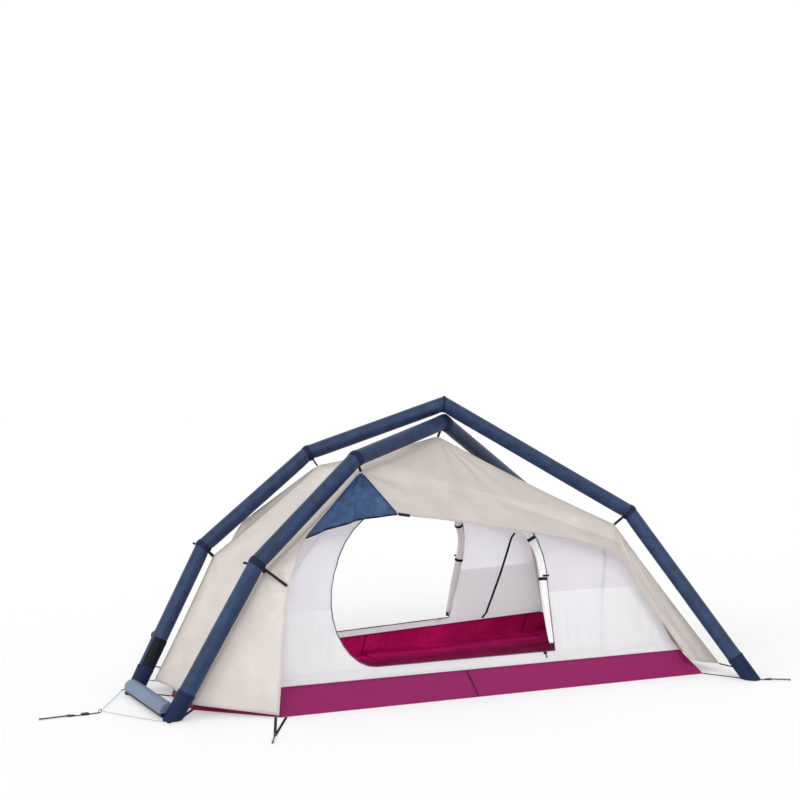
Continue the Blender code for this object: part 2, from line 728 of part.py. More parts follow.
def door_outline():
    """Return the outline of a door in side view as (x, z) points, from its sill's right end round."""
    sill = TRAY_HEIGHT + SILL_LIFT
    points = [(DOOR_SILL_RIGHT_REACH, sill)]
    points += arc_points((DOOR_TOP_RIGHT_REACH, DOOR_RIGHT_HEIGHT), DOOR_RIGHT_REACH - DOOR_TOP_RIGHT_REACH,
                         DOOR_TOP_HEIGHT - DOOR_RIGHT_HEIGHT, 0, 90, 8)
    points += arc_points((-DOOR_TOP_LEFT_REACH, DOOR_LEFT_HEIGHT), DOOR_LEFT_REACH - DOOR_TOP_LEFT_REACH,
                         DOOR_TOP_HEIGHT - DOOR_LEFT_HEIGHT, 90, 180, 10)
    points += arc_points((-DOOR_SILL_LEFT_REACH, DOOR_LEFT_HEIGHT), DOOR_LEFT_REACH - DOOR_SILL_LEFT_REACH,
                         DOOR_LEFT_HEIGHT - sill, 180, 270, 7)[1:]
    return points


def make_arches(shop, frame):
    """Make the fabric sleeves of both arches, one between each two bends, and the bladders inside them."""
    bladder_outer = TUBE_RADIUS - SLEEVE_WALL - BLADDER_GAP
    for letter in "ab":
        line = frame.arch(letter)
        normals = square_ends(line)
        soles = [frame_point_at_height(line[0], line[1], SOLE_THICKNESS + SEAT_GAP),
                 frame_point_at_height(line[-1], line[-2], SOLE_THICKNESS + SEAT_GAP)]
        stops = [soles[0]] + line[1:-1] + [soles[1]]
        planes = [UP] + normals[1:-1] + [-UP]
        for index in range(len(stops) - 1):
            start, end = stops[index], stops[index + 1]
            along = (end - start).normalized()
            if index > 0:
                start = start + along * (MITRE_GAP / 2 / along.dot(planes[index]))
            if index < len(stops) - 2:
                end = end - along * (MITRE_GAP / 2 / along.dot(planes[index + 1]))
            tube = hollow_tube([start, end], [planes[index], planes[index + 1]],
                               TUBE_RADIUS, TUBE_RADIUS - SLEEVE_WALL)
            shop.add(f"arch_{letter}_sleeve_{index + 1}", tube, "navy_fabric", origin=start,
                     turn=UP.rotation_difference(along))
        ends = [frame_point_at_height(line[0], line[1], TUBE_RADIUS + BLADDER_LIFT),
                frame_point_at_height(line[-1], line[-2], TUBE_RADIUS + BLADDER_LIFT)]
        inside = [ends[0]] + line[1:-1] + [ends[1]]
        bladder = shop.add(f"arch_{letter}_bladder",
                           solid_tube(inside, square_ends(inside), bladder_outer, WRAP_SIDES),
                           "bladder_film")
        hollow = [blend_by(inside[0], inside[1], BLADDER_WALL)] + line[1:-1]
        hollow.append(blend_by(inside[-1], inside[-2], BLADDER_WALL))
        shop.cut(bladder, f"arch_{letter}_air",
                 solid_tube(hollow, square_ends(hollow), bladder_outer - BLADDER_WALL, WRAP_SIDES))
        if letter == "b":
            middle = blend(line[0], line[1], VALVE_UP_LEG / (line[1] - line[0]).length)
            port = Vector((0.0, -1.0, 0.0))
            shop.cut(bladder, "arch_b_port", rod(middle, middle + port * TUBE_RADIUS, VALVE_BORE))


def frame_point_at_height(start, towards, height):
    """Return the point on a line at a height."""
    return blend(start, towards, (height - start.z) / (towards.z - start.z))


def blend_by(start, towards, distance):
    """Return the point a distance from start towards another point."""
    return start + (towards - start).normalized() * distance


def make_foot_tube(shop, frame):
    """Make the tube on the ground between the left feet, shaped at its ends to the boots."""
    near = Vector((-FOOT_TUBE_REACH, -FOOT_TUBE_SPREAD, TUBE_RADIUS))
    far = mirrored(near, -1)
    wall = Vector((0.0, SLEEVE_WALL, 0.0))
    tube = shop.add("foot_tube", rod(near, far, TUBE_RADIUS, TUBE_SIDES), "pale_coated_fabric", origin=near)
    shop.cut(tube, "foot_tube_air", rod(near + wall, far - wall, TUBE_RADIUS - SLEEVE_WALL, TUBE_SIDES))
    for side, name in ((-1, "near"), (1, "far")):
        base = mirrored(frame.ground_point(frame.left_foot, frame.low_bend, -CUT_OVERRUN), side)
        top = mirrored(frame.ground_point(frame.left_foot, frame.low_bend, BOOT_LENGTH), side)
        shop.cut(tube, f"foot_tube_{name}_end",
                 rod(base, top, TUBE_RADIUS + SEAT_GAP + BOOT_WALL + SEAT_GAP, TUBE_SIDES))


def boot_line(frame, end, side):
    """Return where a leg's centre line meets the ground and the top of its boot."""
    foot, bend = (frame.left_foot, frame.low_bend) if end == "left" else (frame.right_foot, frame.right_bend)
    ground = mirrored(frame.ground_point(foot, bend), side)
    top = ground + (mirrored(bend, side) - ground).normalized() * BOOT_LENGTH
    return ground, top


def make_boot(shop, frame, inner, fly, end, side):
    """Make a boot with its sole and the webbing that is sewn to it."""
    name = f"boot_{end}_{side_name(side)}"
    ground, top = boot_line(frame, end, side)
    along = (top - ground).normalized()
    outer = TUBE_RADIUS + SEAT_GAP + BOOT_WALL
    boot = shop.add(name, solid_tube([ground, top], [UP, along], outer, WRAP_SIDES), "boot_fabric",
                    origin=ground)
    centre = Vector((ground.x, ground.y, STRAP_THICKNESS / 2))
    if end == "left":
        corner = mirrored(inner.floor[0], side)
        root = centre + Vector((STRAP_ROOT_REACH, 0.0, 0.0))
        shop.join(boot, name + "_corner_strap", ground_bar(root, corner))
        add_eyelet(shop, boot, name, centre, side)
        tie_start = blend_by(ground, top, NOSE_TIE_HEIGHT)
        hooked_bar(shop, boot, name + "_nose_tie", tie_start, fly, "nose", side, UP)
    else:
        ring_centre, direction = right_ring(frame, side)
        shop.join(boot, name + "_peg_strap",
                  bar(centre, centre + direction * (ring_centre - centre).to_2d().length,
                      STRAP_WIDTH, STRAP_THICKNESS, UP))
        shop.join(boot, name + "_peg_ring", peg_ring_solid(ring_centre, direction))
        shop.cut(boot, name + "_peg_hole", peg_ring_hole(ring_centre, direction))
        hooked_bar(shop, boot, name + "_skirt_tie", blend_by(ground, top, SKIRT_TIE_HEIGHT), fly,
                   "skirt_out", side, Vector((1.0, 0.0, 0.0)))
    bore_start = frame_point_at_height(ground, top, SOLE_THICKNESS)
    bore_end = top + along * CUT_OVERRUN
    shop.cut(boot, name + "_bore", solid_tube([bore_start, bore_end], [UP, along], TUBE_RADIUS + SEAT_GAP))


def ground_bar(centre, corner):
    """Return a strap on the ground from a boot's centre to just short of a corner of the tray."""
    direction = Vector((corner.x - centre.x, corner.y - centre.y, 0.0))
    reach = direction.length - SEAT_GAP * 3
    return bar(centre, centre + direction.normalized() * reach, STRAP_WIDTH, STRAP_THICKNESS, UP)


def add_eyelet(shop, boot, name, centre, side):
    """Join the block that the guy line is tied to, square to the line's end, and the link that carries it."""
    first, second = (Vector(point) for point in GUY_ROUTE[:2])
    direction = mirrored((first - second).normalized(), -side)
    face = mirrored(first, -side) + direction * SEAT_GAP
    block_end = face + direction * EYELET_REACH
    shop.join(boot, name + "_eyelet", bar(face, block_end, GUY_RADIUS * 4, GUY_RADIUS * 4, UP))
    link_start = block_end - direction * GUY_RADIUS * 2
    link_end = Vector((centre.x, centre.y, block_end.z))
    shop.join(boot, name + "_link", bar(link_start, link_end, GUY_RADIUS * 3, GUY_RADIUS * 2, UP))


def hooked_bar(shop, piece, name, start, fly, corner_name, side, facing):
    """Join a strap to a piece that reaches a corner of the fly with a small hook just clear of the fabric."""
    corner = mirrored(getattr(fly, corner_name), side)
    pull = (start - corner).normalized()
    panels = [tuple(mirrored(point, side) for point in panel) for panel in fly.panels_at(corner_name)]
    end = corner + pull * seat_distance(corner, pull, panels, HOOK_RADIUS)
    shop.join(piece, name, bar(start, end, HANGER_WIDTH / 2, HANGER_THICKNESS, facing))
    shop.join(piece, name + "_hook", ball(end, HOOK_RADIUS))


def side_name(side):
    """Return the name of a side of the tent."""
    return "near" if side < 0 else "far"


def ring_height():
    """Return the height of a peg ring's axis above the ground."""
    return PEG_RADIUS + SEAT_GAP + PEG_RING_WALL + SEAT_GAP


def peg_ring_solid(centre, direction):
    """Return the body of a peg ring before its hole is cut."""
    half = direction * PEG_RING_LENGTH / 2
    return rod(centre - half, centre + half, PEG_RADIUS + SEAT_GAP + PEG_RING_WALL)


def peg_ring_hole(centre, direction):
    """Return the hole of a peg ring."""
    half = direction * (PEG_RING_LENGTH / 2 + CUT_OVERRUN / 4)
    return rod(centre - half, centre + half, PEG_RADIUS + SEAT_GAP)


def right_ring(frame, side):
    """Return the centre of the peg ring beside a right boot, and the way its peg points out."""
    ground, _ = boot_line(frame, "right", side)
    direction = Vector((ground.x, ground.y, 0.0)).normalized()
    centre = ground + direction * RIGHT_PEG_REACH
    centre.z = ring_height()
    return centre, direction


def make_peg(shop, name, ring_centre, direction, length):
    """Make a turned peg that lies in its ring, its point towards the tent and its head outside."""
    profile = [(0.0, 0.0), (PEG_RADIUS, PEG_POINT_LENGTH), (PEG_RADIUS, length - PEG_HEAD_LENGTH),
               (PEG_HEAD_RADIUS, length - PEG_HEAD_LENGTH), (PEG_HEAD_RADIUS, length), (0.0, length)]
    mesh = bpy.data.meshes.new(name)
    mesh.from_pydata([(radius, 0.0, height) for radius, height in reversed(profile)],
                     [(index, index + 1) for index in range(len(profile) - 1)], [])
    mesh.materials.append(make_material("peg_metal"))
    peg = bpy.data.objects.new(name, mesh)
    peg.matrix_world = (Matrix.Translation(ring_centre - direction * PEG_INSIDE)
                        @ UP.rotation_difference(direction).to_matrix().to_4x4())
    peg.parent = shop.root
    shop.parts.objects.link(peg)
    screw = peg.modifiers.new("turn", 'SCREW')
    screw.steps = PEG_SIDES
    screw.render_steps = PEG_SIDES
    screw.use_merge_vertices = True
    screw.merge_threshold = SEAT_GAP / 10
    screw.use_smooth_shade = False


def make_side_peg_loop(shop, inner, side):
    """Make the webbing V between the tray's shoulder and its peg ring, flat on the ground, and the peg."""
    name = f"peg_loop_{side_name(side)}"
    shoulder = inner.floor[1]
    slant = (inner.floor[0] - shoulder).normalized()
    straight = (inner.floor[2] - shoulder).normalized()
    ring = Vector((-SIDE_PEG_REACH, SIDE_PEG_SPREAD, ring_height()))
    away = Vector((ring.x - shoulder.x, ring.y - shoulder.y, 0.0)).normalized()
    slant_out = Vector((-abs(slant.y), abs(slant.x), 0.0)) * SEAT_GAP
    straight_out = Vector((-straight.y, straight.x, 0.0)) * SEAT_GAP
    across = Vector((-away.y, away.x, 0.0)) * STRAP_WIDTH / 2
    tip = Vector((ring.x, ring.y, 0.0)) + away * PEG_RING_LENGTH / 2
    slant_near = shoulder + slant * SIDE_LEG_START + slant_out
    slant_far = slant_near + slant * STRAP_WIDTH
    straight_near = shoulder + straight * SIDE_LEG_START + straight_out
    straight_far = straight_near + straight * STRAP_WIDTH
    notch = Vector((ring.x, ring.y, 0.0)) - away * STRAP_WIDTH * 2
    outline = [slant_far, slant_near, notch, straight_near, straight_far, tip - across, tip + across]
    loop = flat_outline(shop, name, [(point.x, point.y * side) for point in outline], STRAP_THICKNESS,
                        "black_webbing")
    centre = mirrored(ring, side)
    direction = mirrored(away, side)
    shop.join(loop, name + "_ring", peg_ring_solid(centre, direction))
    shop.cut(loop, name + "_hole", peg_ring_hole(centre, direction))
    make_peg(shop, f"peg_{side_name(side)}", centre, direction, SIDE_PEG_LENGTH)


def make_corner_strap(shop, frame, inner, side):
    """Make the strap on the ground between the tray's wide corner and the right boot."""
    corner = mirrored(inner.floor[2], side)
    ground, _ = boot_line(frame, "right", side)
    direction = Vector((ground.x - corner.x, ground.y - corner.y, 0.0)).normalized()
    lift = Vector((0.0, 0.0, STRAP_THICKNESS / 2))
    start = corner + direction * SEAT_GAP + lift
    end = Vector((ground.x, ground.y, 0.0)) + lift
    name = f"corner_strap_{side_name(side)}"
    strap = shop.add(name, bar(start, end, STRAP_WIDTH, STRAP_THICKNESS, UP), "black_webbing", origin=start)
    foot, top = boot_line(frame, "right", side)
    below = foot - (top - foot)
    shop.cut(strap, name + "_boot_end", rod(below, top, TUBE_RADIUS + BOOT_WALL + SEAT_GAP * 2, TUBE_SIDES))


def make_band(shop, frame, fly, kind, side):
    """Make the webbing band round a bend with the hanger that holds up a corner of the fly."""
    name = "band_crossing" if kind == "crossing" else f"band_{kind}_{side_name(side)}"
    before, bend, after = frame.bend_near_corner(kind, side)
    reach = CROSSING_BAND_REACH if kind == "crossing" else BAND_REACH
    stations = [blend_by(bend, before, reach), bend, blend_by(bend, after, reach)]
    inner_radius = TUBE_RADIUS + SEAT_GAP
    band = shop.add(name, solid_tube(stations, square_ends(stations), inner_radius + BAND_THICKNESS,
                                     WRAP_SIDES), "black_webbing", origin=bend)
    corner_name = "ridge_centre" if kind == "crossing" else kind
    hooked_bar(shop, band, name + "_hanger", bend, fly, corner_name, side, Vector((1.0, 0.0, 0.0)))
    if kind == "low":
        hooked_bar(shop, band, name + "_waist_strap", bend, fly, "waist", side, UP)
    bore = [blend_by(bend, before, reach + CUT_OVERRUN), bend, blend_by(bend, after, reach + CUT_OVERRUN)]
    shop.cut(band, name + "_bore", solid_tube(bore, square_ends(bore), inner_radius))


def valve_frame(frame):
    """Return the place on the far left leg's axis under the valve, the leg's way up and the way out."""
    line = frame.arch("a")
    along = (line[1] - line[0]).normalized()
    place = line[0] + along * VALVE_UP_LEG
    out = Vector((*VALVE_FACING_SHARES, 0.0))
    out = (out - along * out.dot(along)).normalized()
    return place, along, out


def make_valve(shop, frame):
    """Make the inflation valve on the far left leg and its hinged cap, and open the leg below it."""
    place, along, out = valve_frame(frame)
    seat_radius = TUBE_RADIUS + SEAT_GAP
    top = place + out * (seat_radius + VALVE_HEIGHT)
    body = shop.add("valve_body", rod(place, top, VALVE_RADIUS, TUBE_SIDES), "black_plastic",
                    origin=top, turn=UP.rotation_difference(out))
    side = along.cross(out).normalized()
    hinge = top + along * (VALVE_RADIUS + KNUCKLE_RADIUS + SEAT_GAP) + out * CAP_THICKNESS / 2
    ear_start = KNUCKLE_LENGTH / 2 + SEAT_GAP
    shelf = -out * (VALVE_HEIGHT / 2 + CAP_THICKNESS / 2)
    shelf_end = hinge + shelf + along * KNUCKLE_RADIUS
    shop.join(body, "valve_shelf", bar(top + out * CAP_THICKNESS / 2 + shelf, shelf_end,
                                       (ear_start + EAR_WIDTH) * 2, CAP_THICKNESS, out))
    for sign, end in ((-1, "left"), (1, "right")):
        ear = hinge + side * sign * (ear_start + EAR_WIDTH / 2)
        shop.join(body, f"valve_ear_{end}",
                  bar(ear + shelf, ear + out * KNUCKLE_RADIUS / 2, EAR_WIDTH, KNUCKLE_RADIUS * 1.6, along))
    pin_half = side * (ear_start + EAR_WIDTH / 2)
    shop.join(body, "valve_pin", rod(hinge - pin_half, hinge + pin_half, PIN_RADIUS))
    below = place - along * VALVE_RADIUS * 3
    above = place + along * VALVE_RADIUS * 3
    shop.cut(body, "valve_saddle", rod(below, above, seat_radius, TUBE_SIDES))
    shop.cut(body, "valve_bore", rod(place, top + out * CUT_OVERRUN, VALVE_BORE))
    cap_base = top + out * SEAT_GAP
    disc = rod(cap_base, cap_base + out * CAP_THICKNESS, VALVE_RADIUS - SEAT_GAP, TUBE_SIDES)
    cap = shop.add("valve_cap", disc, "black_plastic", origin=hinge, turn=UP.rotation_difference(side))
    shop.join(cap, "cap_stem", rod(cap_base + out * CAP_THICKNESS / 2, cap_base - out * CAP_STEM_LENGTH,
                                   VALVE_BORE - CAP_STEM_GAP))
    half = side * KNUCKLE_LENGTH / 2
    shop.join(cap, "cap_knuckle", rod(hinge - half, hinge + half, KNUCKLE_RADIUS))
    arm_end = cap_base + out * CAP_THICKNESS / 2
    shop.join(cap, "cap_arm", bar(hinge, arm_end, KNUCKLE_LENGTH, CAP_THICKNESS / 2, out))
    grip = arm_end - along * (VALVE_RADIUS + GRIP_REACH)
    shop.join(cap, "cap_grip", bar(arm_end, grip, KNUCKLE_LENGTH, CAP_THICKNESS / 2, out))
    shop.cut(cap, "cap_pin_hole", rod(hinge - half * 1.5, hinge + half * 1.5, PIN_RADIUS + SEAT_GAP))
    for target in ("arch_a_sleeve_1", "arch_a_bladder"):
        shop.cut(bpy.data.objects[target], target + "_air_hole", rod(place, top, VALVE_BORE))


def make_fly(shop, fly):
    """Make the panels of the fly."""
    near = {name: mirrored(place, -1) for name, place in vars(fly).items()}
    far = vars(fly)
    left_rows = [[near[name], far[name]] for name in ("ridge", "high", "low", "nose")]
    fabric(shop, "fly_end_left", patch_grid(left_rows, 5, 4), "fly_fabric")
    right_rows = [[near[name], far[name]] for name in ("ridge", "right", "skirt_out")]
    fabric(shop, "fly_end_right", patch_grid(right_rows, 6, 5), "fly_fabric")
    for side in (-1, 1):
        make_fly_side(shop, fly, side)


def make_fly_side(shop, fly, side):
    """Make the awning with its skirt, the side panel and the vent panel of one side."""
    at = {name: mirrored(place, side) for name, place in vars(fly).items()}
    name = side_name(side)
    awning = patch_grid([
        [at["high"], at["ridge"], blend(at["ridge"], at["right"], AWNING_BEND_SHARE), at["right"],
         blend(at["right"], at["skirt_out"], AWNING_CORNER_SHARE), at["skirt_out"]],
        [at["awning_left"], at["awning_middle"], at["awning_bend"], at["awning_right"], at["awning_corner"],
         at["skirt_in"]]], AWNING_COLUMNS, 5)
    fabric(shop, f"fly_awning_{name}", folded_skirt(awning, side), "fly_fabric")
    start_low = fly.trimmed(at["high"], at["low"])
    start_vent = fly.trimmed(at["high"], at["vent"])
    half_low = blend(start_low, at["low"], 0.5)
    side_rows = [[start_low, start_vent], [half_low, at["vent"]], [at["low"], at["waist"]],
                 [at["nose"], at["shoulder"]]]
    fabric(shop, f"fly_side_{name}", patch_grid(side_rows, 5, 4), "fly_fabric")
    start_awning = fly.trimmed(at["high"], at["awning_left"])
    vent = patch_grid([[start_vent, start_awning], [at["vent"], at["awning_left"]]], 12, 8)
    fabric(shop, f"fly_vent_{name}", folded_vent(vent, side), "vent_fabric")


def folded_skirt(grid, side):
    """Raise lengthwise folds in the skirt, the last two spans of an awning, and none at its edges."""
    rows = len(grid) - 1
    first = 3 * AWNING_COLUMNS
    last = len(grid[0]) - 1
    for row, line in enumerate(grid):
        for column in range(first, last + 1):
            along = (column - first) / (last - first)
            ridge = math.sin(math.pi * SKIRT_FOLD_COUNT * row / rows) ** 2 * math.sin(math.pi * along / 2)
            edge = 1.0 if 0 < row < rows else 0.0
            line[column] += Vector((0.0, side * SKIRT_FOLD * ridge * edge, 0.0))
    return grid


def folded_vent(grid, side):
    """Raise folds that fan out from the hung corner of a vent panel and lift its hem in the middle."""
    rows = len(grid) - 1
    columns = len(grid[0]) - 1
    for row, line in enumerate(grid):
        for column in range(1, columns):
            share = column / columns
            down = row / rows
            fold = math.sin(math.pi * VENT_FOLD_COUNT * share) * math.sin(math.pi * share)
            line[column] += Vector((0.0, side * VENT_FOLD * fold * down, 0.0))
            line[column] += Vector((0.0, 0.0, VENT_HEM_RISE * math.sin(math.pi * share) * down ** 2))
    return grid


def make_tray(shop, inner):
    """Make the groundsheet tray: a flat floor with leaning walls, one sheet bent up at its edges."""
    bm = bmesh.new()
    rings = []
    for corners in (inner.floor, inner.rim):
        places = [mirrored(point, -1) for point in corners] + [point.copy() for point in reversed(corners)]
        rings.append([bm.verts.new(place) for place in places])
    bm.faces.new(list(reversed(rings[0])))
    for index in range(len(rings[0])):
        after = (index + 1) % len(rings[0])
        bm.faces.new((rings[0][index], rings[0][after], rings[1][after], rings[1][index]))
    tray = shop.add("groundsheet_tray", bm, "tray_fabric")
    solidify = tray.modifiers.new("thickness", 'SOLIDIFY')
    solidify.thickness = FABRIC
    solidify.offset = -1.0
    solidify.use_even_offset = True


def make_inner(shop, inner):
    """Make the long walls with their doors and the two ends of the inner tent."""
    for side in (-1, 1):
        make_inner_wall(shop, inner, side)
    left_levels = [
        (inner.ridge, Vector((inner.ridge.x, inner.ridge.y / 3, inner.ridge.z))),
        (inner.high, Vector((inner.high.x, inner.high.y / 3, inner.high.z))),
        (inner.waist, inner.nose_top), (inner.sill_left, inner.nose_sill), (inner.rim[1], inner.rim[0])]
    left_rows = [[mirrored(outer, -1), mirrored(middle, -1), middle, outer] for outer, middle in left_levels]
    fabric(shop, "inner_end_left", patch_grid(lifted_rim(left_rows), 4, 4), "inner_fabric")
    right_rows = [[mirrored(level, -1), level.copy()] for level in
                  (inner.ridge, inner.right, inner.sill_right, inner.rim[2])]
    fabric(shop, "inner_end_right", patch_grid(lifted_rim(right_rows), 8, 5), "inner_fabric")


def lifted_rim(rows):
    """Keep the last row of an inner panel clear of the tray's rim."""
    return rows[:-1] + [[blend_by(point, above, SEAT_GAP) for point, above in zip(rows[-1], rows[-2])]]


def make_inner_wall(shop, inner, side):
    """Make one long wall and cut its door."""
    rows = [[mirrored(point, side) for point in row] for row in reversed(inner.wall_rows())]
    wall = fabric(shop, f"inner_wall_{side_name(side)}", patch_grid(lifted_rim(rows), 8, 3), "inner_fabric")
    outline = door_outline()
    bm = bmesh.new()
    near_edge = -WIDE_END_SPREAD if side < 0 else RIDGE_HALF_GAP
    far_edge = -RIDGE_HALF_GAP if side < 0 else WIDE_END_SPREAD
    face = bm.faces.new([bm.verts.new((x, near_edge, z)) for x, z in outline])
    raised = bmesh.ops.extrude_face_region(bm, geom=[face])["geom"]
    moved = [item for item in raised if isinstance(item, bmesh.types.BMVert)]
    bmesh.ops.translate(bm, verts=moved, vec=(0.0, far_edge - near_edge, 0.0))
    bmesh.ops.recalc_face_normals(bm, faces=bm.faces)
    shop.cut(wall, f"door_{side_name(side)}", bm)


def hinge_line(inner, side):
    """Return the axis of a rolled door along the right edge of its opening, with its radii, bottom first."""
    outline = door_outline()
    edge = outline[:8]
    route = []
    radii = []
    count = len(ROLL_RADIUS_SHARES)
    lengths = [0.0]
    for start, end in zip(edge, edge[1:]):
        lengths.append(lengths[-1] + math.dist(start, end))
    for index, share in enumerate(ROLL_RADIUS_SHARES):
        distance = blend(ROLL_BOTTOM_LIFT, lengths[-1], index / (count - 1))
        span = next(number for number in range(1, len(lengths)) if distance <= lengths[number] + SEAT_GAP)
        local = (distance - lengths[span - 1]) / (lengths[span] - lengths[span - 1])
        x = blend(edge[span - 1][0], edge[span][0], local)
        z = blend(edge[span - 1][1], edge[span][1], local)
        run = Vector((edge[span][0] - edge[span - 1][0], edge[span][1] - edge[span - 1][1])).normalized()
        x -= run.y * (ROLL_RADIUS * share + ROLL_GAP)
        z += run.x * (ROLL_RADIUS * share + ROLL_GAP)
        route.append(mirrored(inner.wall_at(x, z), side))
        radii.append(ROLL_RADIUS * share)
    return route, radii


def make_rolled_door(shop, inner, side):
    """Make a door rolled up along its hinge edge, with its tie, and the toggle that holds the tie."""
    name = f"rolled_door_{side_name(side)}"
    route, radii = hinge_line(inner, side)
    curve = bpy.data.curves.new(name, 'CURVE')
    curve.dimensions = '3D'
    curve.bevel_depth = 1.0
    curve.bevel_resolution = 3
    curve.use_fill_caps = True
    spline = curve.splines.new('POLY')
    fine = smooth_route(route, 3)
    fine_radii = [point.x for point in smooth_route([Vector((radius, 0.0, 0.0)) for radius in radii], 3)]
    spline.points.add(len(fine) - 1)
    for point, place, radius in zip(spline.points, fine, fine_radii):
        point.co = (*place, 1.0)
        point.radius = radius
    drawn = bpy.data.objects.new(name + "_curve", curve)
    shop.parts.objects.link(drawn)
    roll = curve_as_mesh(shop, drawn, name, "inner_fabric")
    middle = round(TIE_SHARE * (len(fine) - 1))
    along = (fine[middle + 1] - fine[middle]).normalized()
    half = along * TIE_WIDTH / 2
    tie_radius = fine_radii[middle] + TIE_THICKNESS
    shop.join(roll, name + "_tie", rod(fine[middle] - half, fine[middle] + half, tie_radius, TUBE_SIDES))
    outward = Vector((0.0, side, 0.0))
    outward = (outward - along * outward.dot(along)).normalized()
    across = along.cross(outward).normalized()
    centre = fine[middle] + outward * (tie_radius + SEAT_GAP + TOGGLE_RADIUS)
    half = across * TOGGLE_LENGTH / 2
    shop.add(f"door_toggle_{side_name(side)}",
             rod(centre - half, centre + half, TOGGLE_RADIUS), "black_plastic", origin=centre,
             turn=UP.rotation_difference(outward))


def make_zip_slider(shop, inner, side):
    """Make the slider of a door's zip at the right end of its sill, flat on the wall below the opening."""
    along = (inner.sill_right - inner.sill_left).normalized()
    rise = (inner.sill_left - inner.rim[1])
    rise = (rise - along * rise.dot(along)).normalized()
    outward = along.cross(rise).normalized()
    outward = outward if outward.y > 0 else -outward
    sill = inner.along_line(inner.sill_left, inner.sill_right, SLIDER_START_REACH)
    seat = FABRIC / 2 + SEAT_GAP
    centre = sill - rise * (SLIDER_DROP + SLIDER_HEIGHT / 2) + outward * (seat + SLIDER_THICKNESS / 2)
    half = along * SLIDER_LENGTH / 2
    flip = [mirrored(point, side) for point in (centre - half, centre + half, outward)]
    name = f"zip_slider_{side_name(side)}"
    slider = shop.add(name, bar(flip[0], flip[1], SLIDER_HEIGHT, SLIDER_THICKNESS, flip[2]), "black_plastic",
                      origin=mirrored(centre, side))
    pull_start = sill - rise * (SLIDER_DROP + SLIDER_HEIGHT / 2) + outward * (seat + PULL_THICKNESS / 2)
    pull_end = pull_start - rise * PULL_LENGTH
    flip = [mirrored(point, side) for point in (pull_start, pull_end, outward)]
    shop.join(slider, name + "_pull", bar(flip[0], flip[1], PULL_WIDTH, PULL_THICKNESS, flip[2]))


def make_inner_strap(shop, inner, side):
    """Make the strap that runs down the inside of a long wall."""
    steps = 30
    reach = INNER_STRAP_WIDTH / 2
    grid = []
    for step in range(steps + 1):
        x = blend(INNER_STRAP_TOP_REACH, INNER_STRAP_FOOT_REACH, step / steps)
        z = blend(INNER_STRAP_TOP_HEIGHT, INNER_STRAP_FOOT_HEIGHT, step / steps)
        place = inner.wall_at(x, z)
        ahead = (inner.wall_at(x + reach, z) - place).normalized()
        above = (inner.wall_at(x, z + reach) - place).normalized()
        inward = above.cross(ahead).normalized()
        inward = inward if inward.y < 0 else -inward
        lift = inward * (FABRIC / 2 + INNER_STRAP_STANDOFF + INNER_STRAP_THICKNESS / 2)
        grid.append([mirrored(place + lift + ahead * offset, side) for offset in (-reach, 0.0, reach)])
    fabric(shop, f"inner_strap_{side_name(side)}", grid, "black_webbing", INNER_STRAP_THICKNESS)


def make_guy_line(shop):
    """Make the guy cord from boot to boot through a ring, the strap on the ring, its buckle and its peg."""
    route = smooth_route([Vector(point) for point in GUY_ROUTE], 9)
    curve = bpy.data.curves.new("guy_cord", 'CURVE')
    curve.dimensions = '3D'
    curve.bevel_depth = GUY_RADIUS
    curve.bevel_resolution = 2
    curve.use_fill_caps = True
    curve.materials.append(make_material("guy_cord"))
    spline = curve.splines.new('POLY')
    spline.points.add(len(route) - 1)
    for point, place in zip(spline.points, route):
        point.co = (*place, 1.0)
    cord = bpy.data.objects.new("guy_cord", curve)
    cord.parent = shop.root
    shop.parts.objects.link(cord)
    ring_middle = Vector((-GUY_RING_REACH, 0.0, GUY_RING_RADIUS + GUY_WIRE_RADIUS))
    strap_end = Vector((ring_middle.x - GUY_RING_RADIUS, 0.0, STRAP_THICKNESS / 2))
    peg_ring = Vector((strap_end.x - GUY_STRAP_LENGTH, 0.0, ring_height()))
    outward = Vector((-1.0, 0.0, 0.0))
    flat_end = Vector((peg_ring.x, 0.0, strap_end.z))
    eye_foot = Vector((ring_middle.x, 0.0, strap_end.z))
    strap = shop.add("guy_strap", bar(eye_foot, flat_end, STRAP_WIDTH, STRAP_THICKNESS, UP), "black_webbing",
                     origin=strap_end)
    half = Vector((0.0, GUY_WIRE_RADIUS, 0.0))
    shop.join(strap, "guy_eye", rod(ring_middle - half, ring_middle + half, GUY_RING_RADIUS + GUY_WIRE_RADIUS,
                                    TUBE_SIDES))
    shop.join(strap, "guy_peg_ring", peg_ring_solid(peg_ring, outward))
    shop.cut(strap, "guy_eye_hole", rod(ring_middle - half * 3, ring_middle + half * 3,
                                        GUY_RING_RADIUS - GUY_WIRE_RADIUS, TUBE_SIDES))
    shop.cut(strap, "guy_peg_hole", peg_ring_hole(peg_ring, outward))
    make_peg(shop, "peg_guy", peg_ring, outward, GUY_PEG_LENGTH)
    make_tensioner(shop, blend(strap_end, flat_end, TENSIONER_SHARE))


def make_tensioner(shop, place):
    """Make the buckle that slides along the guy strap."""
    along = Vector((1.0, 0.0, 0.0))
    middle = Vector((place.x, place.y, TENSIONER_HEIGHT / 2))
    half = along * TENSIONER_LENGTH / 2
    block = bar(middle - half, middle + half, TENSIONER_WIDTH, TENSIONER_HEIGHT, UP)
    buckle = shop.add("guy_tensioner", block, "black_plastic", origin=place)
    slot = half * 1.5
    low = Vector((middle.x, middle.y, (STRAP_THICKNESS + SEAT_GAP) / 2 - CUT_OVERRUN / 4))
    shop.cut(buckle, "tensioner_slot", bar(low - slot, low + slot, STRAP_WIDTH + SEAT_GAP * 2,
                                           STRAP_THICKNESS + SEAT_GAP + CUT_OVERRUN / 2, UP))


